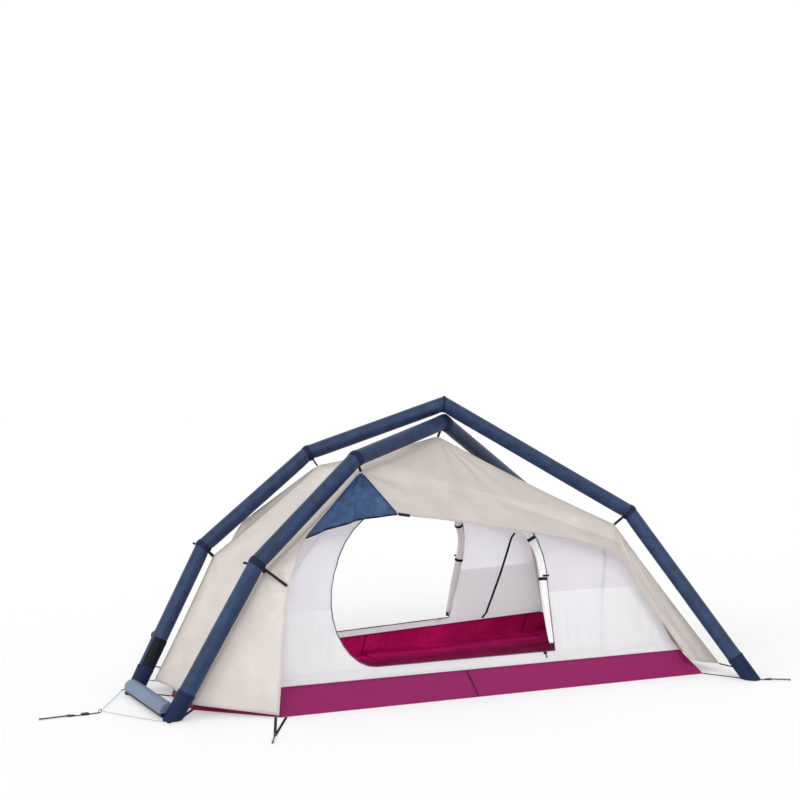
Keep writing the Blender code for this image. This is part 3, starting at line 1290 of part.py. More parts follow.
def main():
    """Build the tent."""
    shop = Workshop()
    frame = Frame()
    fly = FlyPlan(frame)
    inner = InnerPlan(fly)
    make_arches(shop, frame)
    make_foot_tube(shop, frame)
    for side in (-1, 1):
        make_boot(shop, frame, inner, fly, "left", side)
        make_boot(shop, frame, inner, fly, "right", side)
        ring_centre, direction = right_ring(frame, side)
        make_peg(shop, f"peg_right_{side_name(side)}", ring_centre, direction, RIGHT_PEG_LENGTH)
        make_corner_strap(shop, frame, inner, side)
        make_side_peg_loop(shop, inner, side)
        for kind in ("low", "high", "right"):
            make_band(shop, frame, fly, kind, side)
    make_band(shop, frame, fly, "crossing", -1)
    make_valve(shop, frame)
    make_fly(shop, fly)
    make_tray(shop, inner)
    make_inner(shop, inner)
    for side in (-1, 1):
        make_rolled_door(shop, inner, side)
        make_zip_slider(shop, inner, side)
        make_inner_strap(shop, inner, side)
    make_guy_line(shop)


main()
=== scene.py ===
"""Finished cloth, webbing, cord and materials for an inflatable tent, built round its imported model."""

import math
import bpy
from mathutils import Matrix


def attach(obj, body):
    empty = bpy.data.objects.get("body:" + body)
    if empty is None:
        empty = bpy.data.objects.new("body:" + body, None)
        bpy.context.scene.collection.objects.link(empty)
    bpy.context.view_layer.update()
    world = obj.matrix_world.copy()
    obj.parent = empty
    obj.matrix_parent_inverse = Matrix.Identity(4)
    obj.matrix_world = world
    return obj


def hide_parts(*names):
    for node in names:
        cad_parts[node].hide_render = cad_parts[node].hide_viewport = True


bl_info = {
    "name": "Inflatable Tent Surfaces",
    "version": (1, 0, 0),
    "blender": (4, 5, 0),
    "location": "3D View > Sidebar > Tent",
    "description": "Builds the cloth, webbing and fittings of an inflatable tent round its packed model",
    "category": "Object",
}

import bpy
import numpy as np

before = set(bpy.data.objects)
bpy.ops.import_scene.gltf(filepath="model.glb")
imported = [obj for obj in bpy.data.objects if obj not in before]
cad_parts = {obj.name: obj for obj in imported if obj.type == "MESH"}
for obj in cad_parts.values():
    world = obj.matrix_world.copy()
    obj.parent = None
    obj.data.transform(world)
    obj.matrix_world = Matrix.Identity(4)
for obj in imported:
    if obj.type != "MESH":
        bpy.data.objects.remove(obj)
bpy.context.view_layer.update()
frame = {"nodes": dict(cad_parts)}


def linear(red, green, blue):
    """Return a linear colour from its display values, 0 to 255."""
    shares = [value / 255 for value in (red, green, blue)]
    return tuple(share / 12.92 if share <= 0.04045 else ((share + 0.055) / 1.055) ** 2.4 for share in shares)


def at(*values):
    """Return a point or vector as an array."""
    return np.array(values, float)


# Sizes in metres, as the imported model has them
TUBE_RADIUS = 0.0355
WRAP_RADIUS = 0.0358
BAND_OUTER = 0.0372
BOOT_OUTER = 0.0373
BOOT_LENGTH = 0.125
SOLE = 0.0026
CLOTH = 0.0008
STRAP_WIDTH = 0.014
STRAP_THICKNESS = 0.0016
CORNER_TRIM = 0.010
HOOK_RADIUS = 0.003
RING_HEIGHT = 0.005
RING_INNER = 0.0033
RING_OUTER = 0.0047
RING_LENGTH = 0.016
FOOT_TUBE_REACH = 1.455
FOOT_TUBE_SPREAD = 0.245
HANGER_THICKNESS = 0.0018

# Sizes of this scene alone: a boot's inside, where the foot tube meets a boot, where a hanger starts,
# how far the inner tent's foot lies above the rim, and the thickness of a tape
BOOT_INNER = 0.03575
BOOT_SEAT = 0.0378
HANGER_START = 0.0362
RIM_LIFT = 0.0005
TAPE_THICKNESS = 0.0012

# Lengths of the cloth's dressing: how far a held seam and a corner's folds reach, a stitch, the blur of a
# painted shade line, the height of the waves at which a woven grid shows, and an edge distance that takes no
# stitches
HOLD_WIDTH = 0.045
FOLD_REACH = 0.13
STITCH_LENGTH = 0.0045
SHADED_CREASE_BLUR = 0.012
GRID_LINE = 0.965
PLAIN_EDGE = 0.05

# Hooks and the tied loop, as radii and places along their pull
BOOT_HOOK = [(0.0016, -0.003), (0.0028, -0.0015), (0.0030, 0.0), (0.0026, 0.0016), (0.0014, 0.0028)]
BAND_HOOK = [(0.0016, -0.0040), (0.0032, -0.0020), (0.0030, 0.0006), (0.0022, 0.0022), (0.0010, 0.0030)]
EYELET = [(0.0012, 0.0), (0.0025, 0.0006), (0.0028, 0.004), (0.0022, 0.008), (0.0026, 0.012),
          (0.0021, 0.018), (0.0012, 0.020)]

# Bends of the arches on the far side; a crossing's height depends on the arch
LEFT_FOOT = at(-1.422, 0.263, 0.0355)
LOW_BEND = at(-1.093, 0.318, 0.624)
HIGH_BEND = at(-0.598, 0.248, 1.041)
RIGHT_BEND = at(0.793, 0.392, 0.752)
RIGHT_FOOT = at(1.130, 0.824, 0.0355)
CROSSINGS = {"a": at(-0.006, 0.0, 1.2698), "b": at(-0.006, 0.0, 1.1842)}

# Corners of the fly on the far side
FLY = {
    "ridge": at(-0.0391, 0.02, 1.1108),
    "high": at(-0.5609, 0.2245, 0.9796),
    "low": at(-1.0505, 0.2987, 0.5795),
    "right": at(0.7350, 0.3502, 0.6902),
    "nose": at(-1.352, 0.240, 0.050),
    "shoulder": at(-1.0479, 0.4430, 0.012),
    "waist": at(-0.9855, 0.3997, 0.5275),
    "vent": at(-0.885, 0.350, 0.722),
    "awning_left": at(-0.500, 0.450, 0.812),
    "awning_middle": at(0.090, 0.450, 0.712),
    "awning_bend": at(0.531, 0.487, 0.616),
    "awning_right": at(0.667, 0.500, 0.530),
    "awning_corner": at(0.771, 0.525, 0.375),
    "skirt_in": at(0.940, 0.660, 0.076),
    "skirt_out": at(1.155, 0.620, 0.030),
}

# Corners of the inner tent and of the groundsheet tray on the far side
INNER = {
    "high": at(-0.5609, 0.1965, 0.9376),
    "right": at(0.7350, 0.3222, 0.6482),
    "ridge": at(-0.0391, 0.02, 1.0688),
    "waist": at(-0.970, 0.300, 0.500),
    "nose_top": at(-1.050, 0.200, 0.500),
    "nose_sill": at(-1.2564, 0.1156, 0.150),
    "sill_left": at(-1.014, 0.338, 0.150),
    "sill_right": at(0.931, 0.539, 0.150),
}
FLOOR = [at(-1.31, 0.136, 0.0), at(-1.034, 0.43, 0.0), at(1.034, 0.644, 0.0)]
RIM = [at(-1.28, 0.106, 0.11), at(-1.019, 0.37555, 0.11), at(0.947, 0.579, 0.11)]
HEIGHT_SHARES = (0.0, 0.36, 0.70, 1.0)
INWARD_SHARES = (0.0, 0.27, 0.47, 1.0)
NET_HEIGHT = 0.40
TRAY_SEAM_SHARE = 0.434
FLOOR_SEAMS = (-0.18, 0.86)
SECOND_TIE_SHARE = 0.66
ROLL_RADIUS_SHARES = (0.50, 0.62, 0.74, 0.80, 0.80, 0.76, 0.84, 0.95, 1.0, 0.94)
ROLL_RADIUS = 0.024
TIE_SHARE = 0.40
GUY_ROUTE = ((-1.4800, -0.3080, 0.0080), (-1.5200, -0.2400, 0.0074), (-1.5900, -0.1220, 0.0068),
             (-1.6480, -0.0240, 0.0076), (-1.6617, 0.0, 0.0080), (-1.6480, 0.0240, 0.0076),
             (-1.5900, 0.1220, 0.0068), (-1.5200, 0.2400, 0.0074), (-1.4800, 0.3080, 0.0080))

SIDES = ((-1, "near"), (1, "far"))
UP = at(0.0, 0.0, 1.0)
INSIDE = at(-0.1, 0.0, 0.30)
STRAP_LIFT = UP * STRAP_THICKNESS / 2
LOOP_RING = at(-1.166, 0.675, RING_HEIGHT)

# The place along x of the guy line's peg ring
GUY_PEG = -1.7965

# The corner that a boot's tie holds, the tie's height on the leg and the way it faces
TIE_PLACES = {"left": ("nose", 0.070, at(0, 0, 1)), "right": ("skirt_out", 0.055, at(1, 0, 0))}

# An awning's crease line in side view, above which it takes a painted shade, and where its free corners meet
# the roof seam
AWNING_SHADED_CREASE = (0.271, 0.893)
AWNING_ROOF_SHARES = (0.0, 1.0, 1.78, 2.0, 2.2, 3.0)

# The camera fitted to the photograph, in metres, degrees and millimetres
CAMERA_PLACE = (-3.196, -5.398, 1.397)
CAMERA_YAW = 28.689
CAMERA_PITCH = -0.990
CAMERA_LENS = 59.394

# The studio: the share of its white that lights the object, half the floor's width, the floor's own
# glow and the share of it that the camera sees
WORLD_LIGHT = 0.66
STUDIO_REACH = 40.0
FLOOR_GLOW = 1.06
FLOOR_GLOW_SHARE = 0.25

# Each sun's name, direction, strength and width in degrees
SUNS = (("key", at(0.30, 0.80, -0.52), 1.32, 35.0), ("fill", at(0.95, 0.16, -0.32), 1.25, 50.0))


class TentSizes(bpy.types.PropertyGroup):
    """Sizes of the cloth's finish that a user may change."""

    panel_sag: bpy.props.FloatProperty(
        name="Panel sag", description="How far a panel hollows between its seams",
        default=0.010, min=0.0, max=0.03, unit='LENGTH')
    seam_sag: bpy.props.FloatProperty(
        name="Seam sag", description="How far a seam hangs between its corners",
        default=0.007, min=0.0, max=0.02, unit='LENGTH')
    fold_depth: bpy.props.FloatProperty(
        name="Fold depth", description="Depth of the folds that run from a corner",
        default=0.0035, min=0.0, max=0.01, unit='LENGTH')
    awning_fold: bpy.props.FloatProperty(
        name="Awning fold", description="Depth of the fold along an awning",
        default=0.036, min=0.0, max=0.05, unit='LENGTH')
    crease_depth: bpy.props.FloatProperty(
        name="Crease depth", description="Depth of the creases inside a bend",
        default=0.0030, min=0.0, max=0.008, unit='LENGTH')
    hem_width: bpy.props.FloatProperty(
        name="Hem width", description="Width of the hems of the fly",
        default=0.012, min=0.004, max=0.03, unit='LENGTH')


class TentColours(bpy.types.PropertyGroup):
    """Colours that a user may change."""

    fly: bpy.props.FloatVectorProperty(
        name="Fly", description="Pale cloth of the fly",
        subtype='COLOR', default=linear(240, 234, 229), min=0.0, max=1.0)
    frame: bpy.props.FloatVectorProperty(
        name="Arches", description="Cloth of the air arches",
        subtype='COLOR', default=linear(37, 60, 97), min=0.0, max=1.0)
    vent: bpy.props.FloatVectorProperty(
        name="Vents", description="Cloth of the vent panels",
        subtype='COLOR', default=linear(70, 98, 140), min=0.0, max=1.0)
    inner: bpy.props.FloatVectorProperty(
        name="Inner tent", description="Cloth of the inner tent",
        subtype='COLOR', default=linear(248, 248, 250), min=0.0, max=1.0)
    tray: bpy.props.FloatVectorProperty(
        name="Groundsheet", description="Outside of the tray",
        subtype='COLOR', default=linear(139, 26, 91), min=0.0, max=1.0)
    foot_tube: bpy.props.FloatVectorProperty(
        name="Foot tube", description="Tube on the ground",
        subtype='COLOR', default=linear(110, 132, 156), min=0.0, max=1.0)


class Socket:
    """An output of a shader tree that adds Math nodes when it takes part in a sum."""

    def __init__(self, tree, output):
        self.tree = tree
        self.output = output

    def maths(self, operation, left, right=None):
        """Return the socket of a Math node on one or two values."""
        values = {0: left} if right is None else {0: left, 1: right}
        return add_node(self.tree, "ShaderNodeMath", {"operation": operation}, values)

    def __add__(self, other):
        return self.maths('ADD', self, other)

    def __radd__(self, other):
        return self.maths('ADD', other, self)

    def __sub__(self, other):
        return self.maths('SUBTRACT', self, other)

    def __rsub__(self, other):
        return self.maths('SUBTRACT', other, self)

    def __mul__(self, other):
        return self.maths('MULTIPLY', self, other)

    def __rmul__(self, other):
        return self.maths('MULTIPLY', other, self)

    def __gt__(self, other):
        return self.maths('GREATER_THAN', self, other)

    def __lt__(self, other):
        return self.maths('LESS_THAN', self, other)

    def __abs__(self):
        return self.maths('ABSOLUTE', self)

    def wave(self, length):
        """Return the sine of this value, with one wave to each length."""
        return self.maths('SINE', self * (2 * math.pi / length))


def add_node(tree, kind, settings=None, values=None, output=0):
    """Add a node of a type to a tree, with its settings first and then its inputs' values or links."""
    made = tree.nodes.new(kind)
    for key, value in (settings or {}).items():
        setattr(made, key, value)
    for key, value in (values or {}).items():
        if isinstance(value, Socket):
            tree.links.new(value.output, made.inputs[key])
        else:
            made.inputs[key].default_value = value
    return Socket(tree, made.outputs[output])


class Finish:
    """A material under construction, with a Principled BSDF at its end."""

    def __init__(self, name, colour, roughness, metallic=0.0):
        self.material = bpy.data.materials.new(name)
        self.material.use_nodes = True
        self.material.diffuse_color = (*colour, 1.0)
        self.tree = self.material.node_tree
        self.shader = self.tree.nodes["Principled BSDF"]
        self.colour = tuple(colour)
        self.hold(Base_Color=(*colour, 1.0), Roughness=roughness, Metallic=metallic,
                  Specular_IOR_Level=0.5 if metallic else 0.18)

    def node(self, kind, settings=None, values=None, output=0):
        """Add a node to the material's own tree."""
        return add_node(self.tree, kind, settings, values, output)

    def place(self, source):
        """Return the coordinates of a source and their three parts."""
        whole = self.node("ShaderNodeTexCoord", output=source)
        split = self.node("ShaderNodeSeparateXYZ", None, {"Vector": whole}).output.node
        return whole, [Socket(self.tree, part) for part in split.outputs]

    def noise(self, vector, scale, detail=3.0):
        """Return a soft noise over coordinates, about 0 to 1."""
        return self.node("ShaderNodeTexNoise", None, {"Vector": vector, "Scale": scale, "Detail": detail})

    def attribute(self, name):
        """Return a value that the mesh carries."""
        return self.node("ShaderNodeAttribute", {"attribute_name": name}, output="Fac")

    def step(self, value, low, high):
        """Return 0 below low, 1 above high and a smooth way between."""
        return self.node("ShaderNodeMapRange", {"interpolation_type": 'SMOOTHSTEP'},
                         {"Value": value, "From Min": low, "From Max": high})

    def mix(self, share, first, second):
        """Return a colour that goes from first to second with a share."""
        return self.node("ShaderNodeMix", {"data_type": 'RGBA'},
                         {0: share, 6: as_colour(first), 7: as_colour(second)}, output=2)

    def hold(self, **constants):
        """Set the shader's sockets to constants, with _ for a space in a name."""
        for key, value in constants.items():
            self.shader.inputs[key.replace("_", " ")].default_value = value

    def feed(self, **inputs):
        """Link values to the shader's sockets, with _ for a space in a name."""
        for key, value in inputs.items():
            self.tree.links.new(value.output, self.shader.inputs[key.replace("_", " ")])

    def blend(self, share, other):
        """Mix a share of another shader in, at the material's end."""
        own = Socket(self.tree, self.shader.outputs[0])
        mixed = self.node("ShaderNodeMixShader", None, {0: share, 1: own, 2: other})
        self.tree.links.new(mixed.output, self.tree.nodes["Material Output"].inputs["Surface"])

    def let_through(self, share):
        """Let a share of the light pass through the cloth in its own colour."""
        passed = as_colour(darker(self.colour, 0.97))
        self.blend(share, self.node("ShaderNodeBsdfTranslucent", None, {"Color": passed}))

    def relief(self, height, depth):
        """Raise the surface by a height between 0 and 1 times a depth in metres."""
        bump = self.node("ShaderNodeBump", None, {"Height": height, "Distance": depth, "Strength": 1.0})
        self.feed(Normal=bump)


def as_colour(value):
    """Return a socket as it is and a colour with its alpha."""
    return value if isinstance(value, Socket) else (*value[:3], 1.0)


def darker(colour, share):
    """Return a colour times a share."""
    return tuple(channel * share for channel in colour[:3])


def paler(colour, times, more=0.0):
    """Return a colour times a number and a little more, up to white."""
    return tuple(min(1.0, channel * times + more) for channel in colour)


def cloth_finish(name, colour, roughness, thread=0.0011, depth=0.00025, cell=0.0, crumple=0.0012,
                 stitches=(), mottle=0.93, through=0.0, glow=0.0, patch=5.0, sheen=0.18, crease=None):
    """Make a woven cloth: crossing threads, an optional grid of thicker threads, crumples with painted shade
    on them, rows of stitches at distances from the edge with a painted shade along that edge, an optional
    painted glow, and a painted shade above a crease that is given by its slope and its level."""
    finish = Finish(name, colour, roughness)
    _, (across, along, _) = finish.place("UV")
    body, (x, _, z) = finish.place("Object")
    weave = across.wave(thread) * along.wave(thread) * 0.5 + 0.5
    patches = finish.noise(body, patch, 4.0)
    wrinkles = finish.noise(body, 38.0, 5.0)
    height = weave * depth + wrinkles * crumple
    tone = finish.mix(finish.step(patches, 0.30, 0.72), darker(colour, mottle), colour)
    # Painted shade on the crumples: the cloth darkens where their noise rises.
    painted_crumple_shade = darker(colour, (1 + mottle) / 2 - 0.05)
    tone = finish.mix(finish.step(wrinkles, 0.42, 0.66) * 0.5, tone, painted_crumple_shade)
    tone = finish.mix(weave * 0.10, tone, darker(colour, 0.72))
    if cell:
        lines = (across.wave(cell) > GRID_LINE) + (along.wave(cell) > GRID_LINE)
        height = height + lines * depth
        tone = finish.mix(lines * 0.10, tone, darker(colour, 0.80))
    # Painted shade: the cloth darkens above the crease's line in side view, along a blurred, wandering edge.
    if crease:
        slope, level = crease
        rise = z + x * slope + (patches - 0.5) * 0.05
        shade = finish.step(rise, level - SHADED_CREASE_BLUR, level + SHADED_CREASE_BLUR) * 0.75
        tone = finish.mix(shade, tone, darker(colour, 0.80))
    if stitches:
        edge = finish.attribute("edge")
        # Painted shade along seams and hems: the cloth darkens within 16 mm of its edge.
        tone = finish.mix(finish.step(edge, 0.016, 0.010) * 0.14, tone, darker(colour, 0.35))
    for distance in stitches:
        from_row = abs(edge - distance)
        dash = (across + along).wave(STITCH_LENGTH) > -0.3
        tone = finish.mix((from_row < 0.0007) * dash * 0.55, tone, darker(colour, 0.45))
        height = height - (from_row < 0.0012) * 0.0004
    finish.feed(Base_Color=tone, Roughness=patches * 0.14 + (roughness - 0.07))
    finish.relief(height, 1.0)
    finish.hold(Specular_IOR_Level=sheen)
    # Painted glow: the cloth gives off light in its own tone, though it is no lamp.
    if glow:
        finish.feed(Emission_Color=tone)
        finish.hold(Emission_Strength=glow)
    if through:
        finish.let_through(through)
    return finish


def webbing_finish(name, colour):
    """Make woven webbing: ribs across the strap and a fine twill, worn paler in patches."""
    finish = Finish(name, colour, 0.72)
    _, (across, along, _) = finish.place("UV")
    body, _ = finish.place("Object")
    ribs = along.wave(0.0022) * 0.5 + 0.5
    twill = (across * 2 + along).wave(0.0016) * 0.5 + 0.5
    wear = finish.noise(body, 60.0)
    tone = finish.mix(finish.step(wear, 0.40, 0.75) * 0.5, colour, paler(colour, 2.4))
    tone = finish.mix(ribs * 0.35, tone, darker(colour, 0.4))
    finish.feed(Base_Color=tone, Roughness=wear * 0.2 + 0.62)
    finish.relief(ribs * 0.7 + twill * 0.3, 0.0004)
    return finish


def plastic_finish(name, colour, roughness):
    """Make moulded plastic: a fine grain and paler rubbed patches."""
    finish = Finish(name, colour, roughness)
    body, _ = finish.place("Object")
    grain = finish.noise(body, 900.0, 2.0)
    rubbed = finish.noise(body, 70.0)
    tone = finish.mix(finish.step(rubbed, 0.48, 0.80) * 0.6, colour, paler(colour, 2.6, 0.01))
    finish.feed(Base_Color=tone, Roughness=rubbed * 0.25 + (roughness - 0.10))
    finish.relief(grain, 0.00012)
    return finish


def metal_finish(name, colour):
    """Make drawn metal wire: fine drawing marks and small paler scuffs."""
    finish = Finish(name, colour, 0.34, 0.9)
    body, _ = finish.place("Object")
    marks = finish.noise(body, 420.0, 4.0)
    scuffs = finish.noise(body, 90.0)
    tone = finish.mix(finish.step(scuffs, 0.50, 0.75) * 0.5, colour, linear(150, 152, 156))
    finish.feed(Base_Color=tone, Roughness=marks * 0.28 + 0.22)
    finish.relief(marks, 0.00008)
    return finish


def cord_finish(name, colour):
    """Make a braided cord: two crossing sets of strands on object coordinates."""
    finish = Finish(name, colour, 0.75)
    body, (x, y, z) = finish.place("Object")
    strands = (x + y + z * 2).wave(0.0018) * (x - y - z * 2).wave(0.0018) * 0.5 + 0.5
    tone = finish.mix(strands * 0.4, colour, darker(colour, 0.5))
    finish.feed(Base_Color=tone, Roughness=finish.noise(body, 200.0) * 0.15 + 0.68)
    finish.relief(strands, 0.0003)
    return finish


def unit(vectors):
    """Return vectors divided by their lengths."""
    return vectors / np.linalg.norm(vectors, axis=-1, keepdims=True)


def square_to(way, facing):
    """Return the unit vector that is square to each way and lies nearest to a facing."""
    return unit(facing - way * (way @ facing)[..., None])


def mirrored(place, side):
    """Return a far place as it is for side 1, and mirrored in y for side -1."""
    return place * at(1, side, 1)


def grounded(place):
    """Return a place or a way without its height."""
    return place * at(1, 1, 0)


def on_side(table, side):
    """Return a table of far places, mirrored in y for the near side."""
    return {name: mirrored(place, side) for name, place in table.items()}


def round_angles(count):
    """Return count even angles that go once round a circle."""
    return np.linspace(0, 2 * math.pi, count, endpoint=False)


def run_along(points):
    """Return how far each point lies from the first one along the line through them."""
    return np.append(0.0, np.linalg.norm(np.diff(points, axis=0), axis=1).cumsum())


def cloth_map(across, along):
    """Return a grid's places on its cloth from the distances across it and along it."""
    return np.stack(np.broadcast_arrays(across, along), -1)


def smooth_step(value):
    """Return 3 v^2 - 2 v^3 with v held between 0 and 1."""
    held = np.clip(value, 0.0, 1.0)
    return held * held * (3 - 2 * held)


def waves(first, second, seed, lengths=(0.31, 0.17, 0.093, 0.052)):
    """Return a soft unevenness of about -1 to 1: a sum of sines of two coordinates over falling lengths."""
    total = np.zeros(np.broadcast(first, second).shape)
    for index, length in enumerate(lengths):
        angle = seed * 1.7 + index * 2.3
        phase = seed * 3.1 + index * 1.9
        run = first * math.cos(angle) + second * math.sin(angle)
        total = total + np.sin(run * 2 * math.pi / length + phase) * 0.62 ** index
    return total / 2.2


def oriented(quads, triangles, points, away):
    """Tell whether the faces must be turned: their mean normal points inwards or to the given place."""
    parts = [quads[:, (0, 1, 2)], quads[:, (0, 2, 3)]] + ([triangles] if len(triangles) else [])
    corners = points[np.concatenate(parts)]
    normals = np.cross(corners[:, 1] - corners[:, 0], corners[:, 2] - corners[:, 0])
    if away is None:
        return np.einsum('ij,ij->', normals, corners[:, 0]) < 0
    return np.einsum('ij,ij->', normals, corners.mean(1) - away) < 0


def surface(name, points, finishes, wrap=False, ring=False, caps=(False, False), uv=None, edge=None,
            away=None, thickness=0.0, sharp=50.0):
    """Make a piece from a grid of points: quads between rows and columns, with closed columns for wrap,
    closed rows for ring, and a fan to the middle of an end row for each cap."""
    rows, columns = points.shape[:2]
    if uv is None:
        across, _, down, _ = grid_run(points)
        uv = cloth_map(across, down)
    index = np.arange(rows * columns).reshape(rows, columns)
    right = np.roll(index, -1, axis=1)
    uv_right = np.roll(uv, -1, axis=1)
    uv_right[:, -1] = uv[:, -1] + (uv[:, -1] - uv[:, -2])
    low, low_uv = np.roll(index, -1, axis=0), np.roll(uv, -1, axis=0)
    low_right, low_uv_right = np.roll(right, -1, axis=0), np.roll(uv_right, -1, axis=0)
    low_uv[-1] = uv[-1] + (uv[-1] - uv[-2])
    low_uv_right[-1] = uv_right[-1] + (uv_right[-1] - uv_right[-2])
    chosen = (slice(0, rows if ring else rows - 1), slice(0, columns if wrap else columns - 1))
    quads = np.stack([index[chosen], right[chosen], low_right[chosen], low[chosen]], -1).reshape(-1, 4)
    quad_uv = np.stack([uv[chosen], uv_right[chosen], low_uv_right[chosen], low_uv[chosen]], -2)
    quad_uv = quad_uv.reshape(-1, 4, 2)
    vertices = points.reshape(-1, 3)
    if edge is not None:
        edge = np.broadcast_to(edge, (rows, columns))
        edge_values = edge.reshape(-1)
    fans, fan_uv = [], []
    for row, wanted, first in ((0, caps[0], True), (rows - 1, caps[1], False)):
        if not wanted:
            continue
        pole = len(vertices)
        vertices = np.vstack([vertices, points[row].mean(0)])
        if edge is not None:
            edge_values = np.append(edge_values, edge[row].mean())
        ends = (right[row], index[row]) if first else (index[row], right[row])
        end_uv = (uv_right[row], uv[row]) if first else (uv[row], uv_right[row])
        fans.append(np.stack([ends[0], ends[1], np.full(columns, pole)], -1))
        middle = np.broadcast_to(uv[row].mean(0), (columns, 2))
        fan_uv.append(np.stack([end_uv[0], end_uv[1], middle], -2))
    triangles = np.concatenate(fans) if fans else np.zeros((0, 3), int)
    triangle_uv = np.concatenate(fan_uv) if fans else np.zeros((0, 3, 2))
    if oriented(quads, triangles, vertices, away):
        quads, quad_uv = quads[:, ::-1], quad_uv[:, ::-1]
        triangles, triangle_uv = triangles[:, ::-1], triangle_uv[:, ::-1]
    mesh = bpy.data.meshes.new(name)
    mesh.from_pydata(vertices.tolist(), [], quads.tolist() + triangles.tolist())
    layer = mesh.uv_layers.new(name="UVMap")
    layer.data.foreach_set("uv", np.concatenate([quad_uv.ravel(), triangle_uv.ravel()]))
    if edge is not None:
        carried = mesh.attributes.new("edge", 'FLOAT', 'POINT')
        carried.data.foreach_set("value", edge_values)
    for finish in finishes if isinstance(finishes, (list, tuple)) else [finishes]:
        mesh.materials.append(finish.material)
    mesh.shade_smooth()
    mesh.set_sharp_from_angle(angle=math.radians(sharp))
    piece = bpy.data.objects.new(name, mesh)
    bpy.context.scene.collection.objects.link(piece)
    if thickness:
        wall = piece.modifiers.new("thickness", 'SOLIDIFY')
        wall.thickness = thickness
        wall.offset = 0.0
        wall.material_offset = 1 if len(mesh.materials) > 1 else 0
    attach(piece, "tent")
    return piece


def smooth_line(points, count):
    """Return count points, evenly spread, on the smooth curve that runs through given points."""
    given = np.asarray(points, float)
    fine = curve_row(given, np.linspace(0, len(given) - 1, max(count * 6, 60)))
    run = run_along(fine[:, :3])
    even = np.linspace(0, run[-1], count)
    return np.stack([np.interp(even, run, column) for column in fine.T], -1)


def strap(name, path, facing, width, thickness, finish):
    """Make a flat strap along a path: a rounded rectangle, width across and thickness along the facing."""
    path = np.asarray(path, float)
    along = unit(np.gradient(path, axis=0))
    across = unit(np.cross(along, facing))
    face = np.cross(across, along)
    cut = thickness * 0.35
    wide, tall = width / 2, thickness / 2
    section = np.array([(-wide + cut, -tall), (0, -tall), (wide - cut, -tall), (wide, -tall + cut),
                        (wide, tall - cut), (wide - cut, tall), (0, tall), (-wide + cut, tall),
                        (-wide, tall - cut), (-wide, -tall + cut)])
    points = path[:, None] + across[:, None] * section[None, :, :1] + face[:, None] * section[None, :, 1:]
    uv = cloth_map(section[None, :, 0], run_along(path)[:, None])
    return surface(name, points, finish, wrap=True, caps=(True, True), uv=uv, sharp=40)


def straight(start, end, count=12):
    """Return points on a straight line."""
    return start + (end - start) * np.linspace(0, 1, count)[:, None]


def turned(name, centre, axis, profile, finish, ring=False, caps=(False, False), sides=32):
    """Make a turned piece: centre + axis h + r (first cos t + second sin t) for each (r, h) of a profile."""
    axis = unit(axis)
    first = unit(np.cross(axis, UP if abs(axis[2]) < 0.9 else at(1, 0, 0)))
    second = np.cross(axis, first)
    angle = round_angles(sides)
    out = first * np.cos(angle)[:, None] + second * np.sin(angle)[:, None]
    profile = np.asarray(profile, float)
    points = centre + axis * profile[:, None, 1:] + out[None] * profile[:, None, :1]
    return surface(name, points, finish, wrap=True, ring=ring, caps=caps, sharp=35)


def link_ring(name, centre, axis, radius, wire, finish):
    """Make a wire ring: a circle of the wire's radius turned at the ring's radius."""
    angle = round_angles(14)
    profile = np.stack([radius + wire * np.cos(angle), wire * np.sin(angle)], -1)
    return turned(name, centre, axis, profile, finish, ring=True, sides=40)


def peg_ring(name, centre, direction, finish):
    """Make the short sleeve that a peg lies in, with rounded lips."""
    half, lip = RING_LENGTH / 2, 0.0005
    profile = [(RING_INNER, -half + lip), (RING_INNER + lip, -half), (RING_OUTER - lip, -half),
               (RING_OUTER, -half + lip), (RING_OUTER, half - lip), (RING_OUTER - lip, half),
               (RING_INNER + lip, half), (RING_INNER, half - lip)]
    return turned(name, centre, direction, profile, finish, ring=True)


def hook_bead(name, place, pull, profile):
    """Make the moulded hook at the end of a tie or hanger: a small bead turned round its pull."""
    return turned(name, place, pull, profile, finish_of("plastic"), caps=(True, True), sides=20)


def closed_binding(name, path, facing, wide, tall, finish, sides=12, teeth=1.0, edge=None):
    """Make a binding along a closed path: an ellipse, wide across it, tall along the facing, times teeth."""
    along = unit(np.roll(path, -1, axis=0) - np.roll(path, 1, axis=0))
    outward = square_to(along, facing)
    across = np.cross(along, outward)
    turn = round_angles(sides)
    points = (path[:, None] + across[:, None] * (wide * np.cos(turn) * teeth)[..., None]
              + outward[:, None] * (tall * np.sin(turn) * teeth)[..., None])
    return surface(name, points, finish, wrap=True, ring=True, edge=edge, sharp=60)


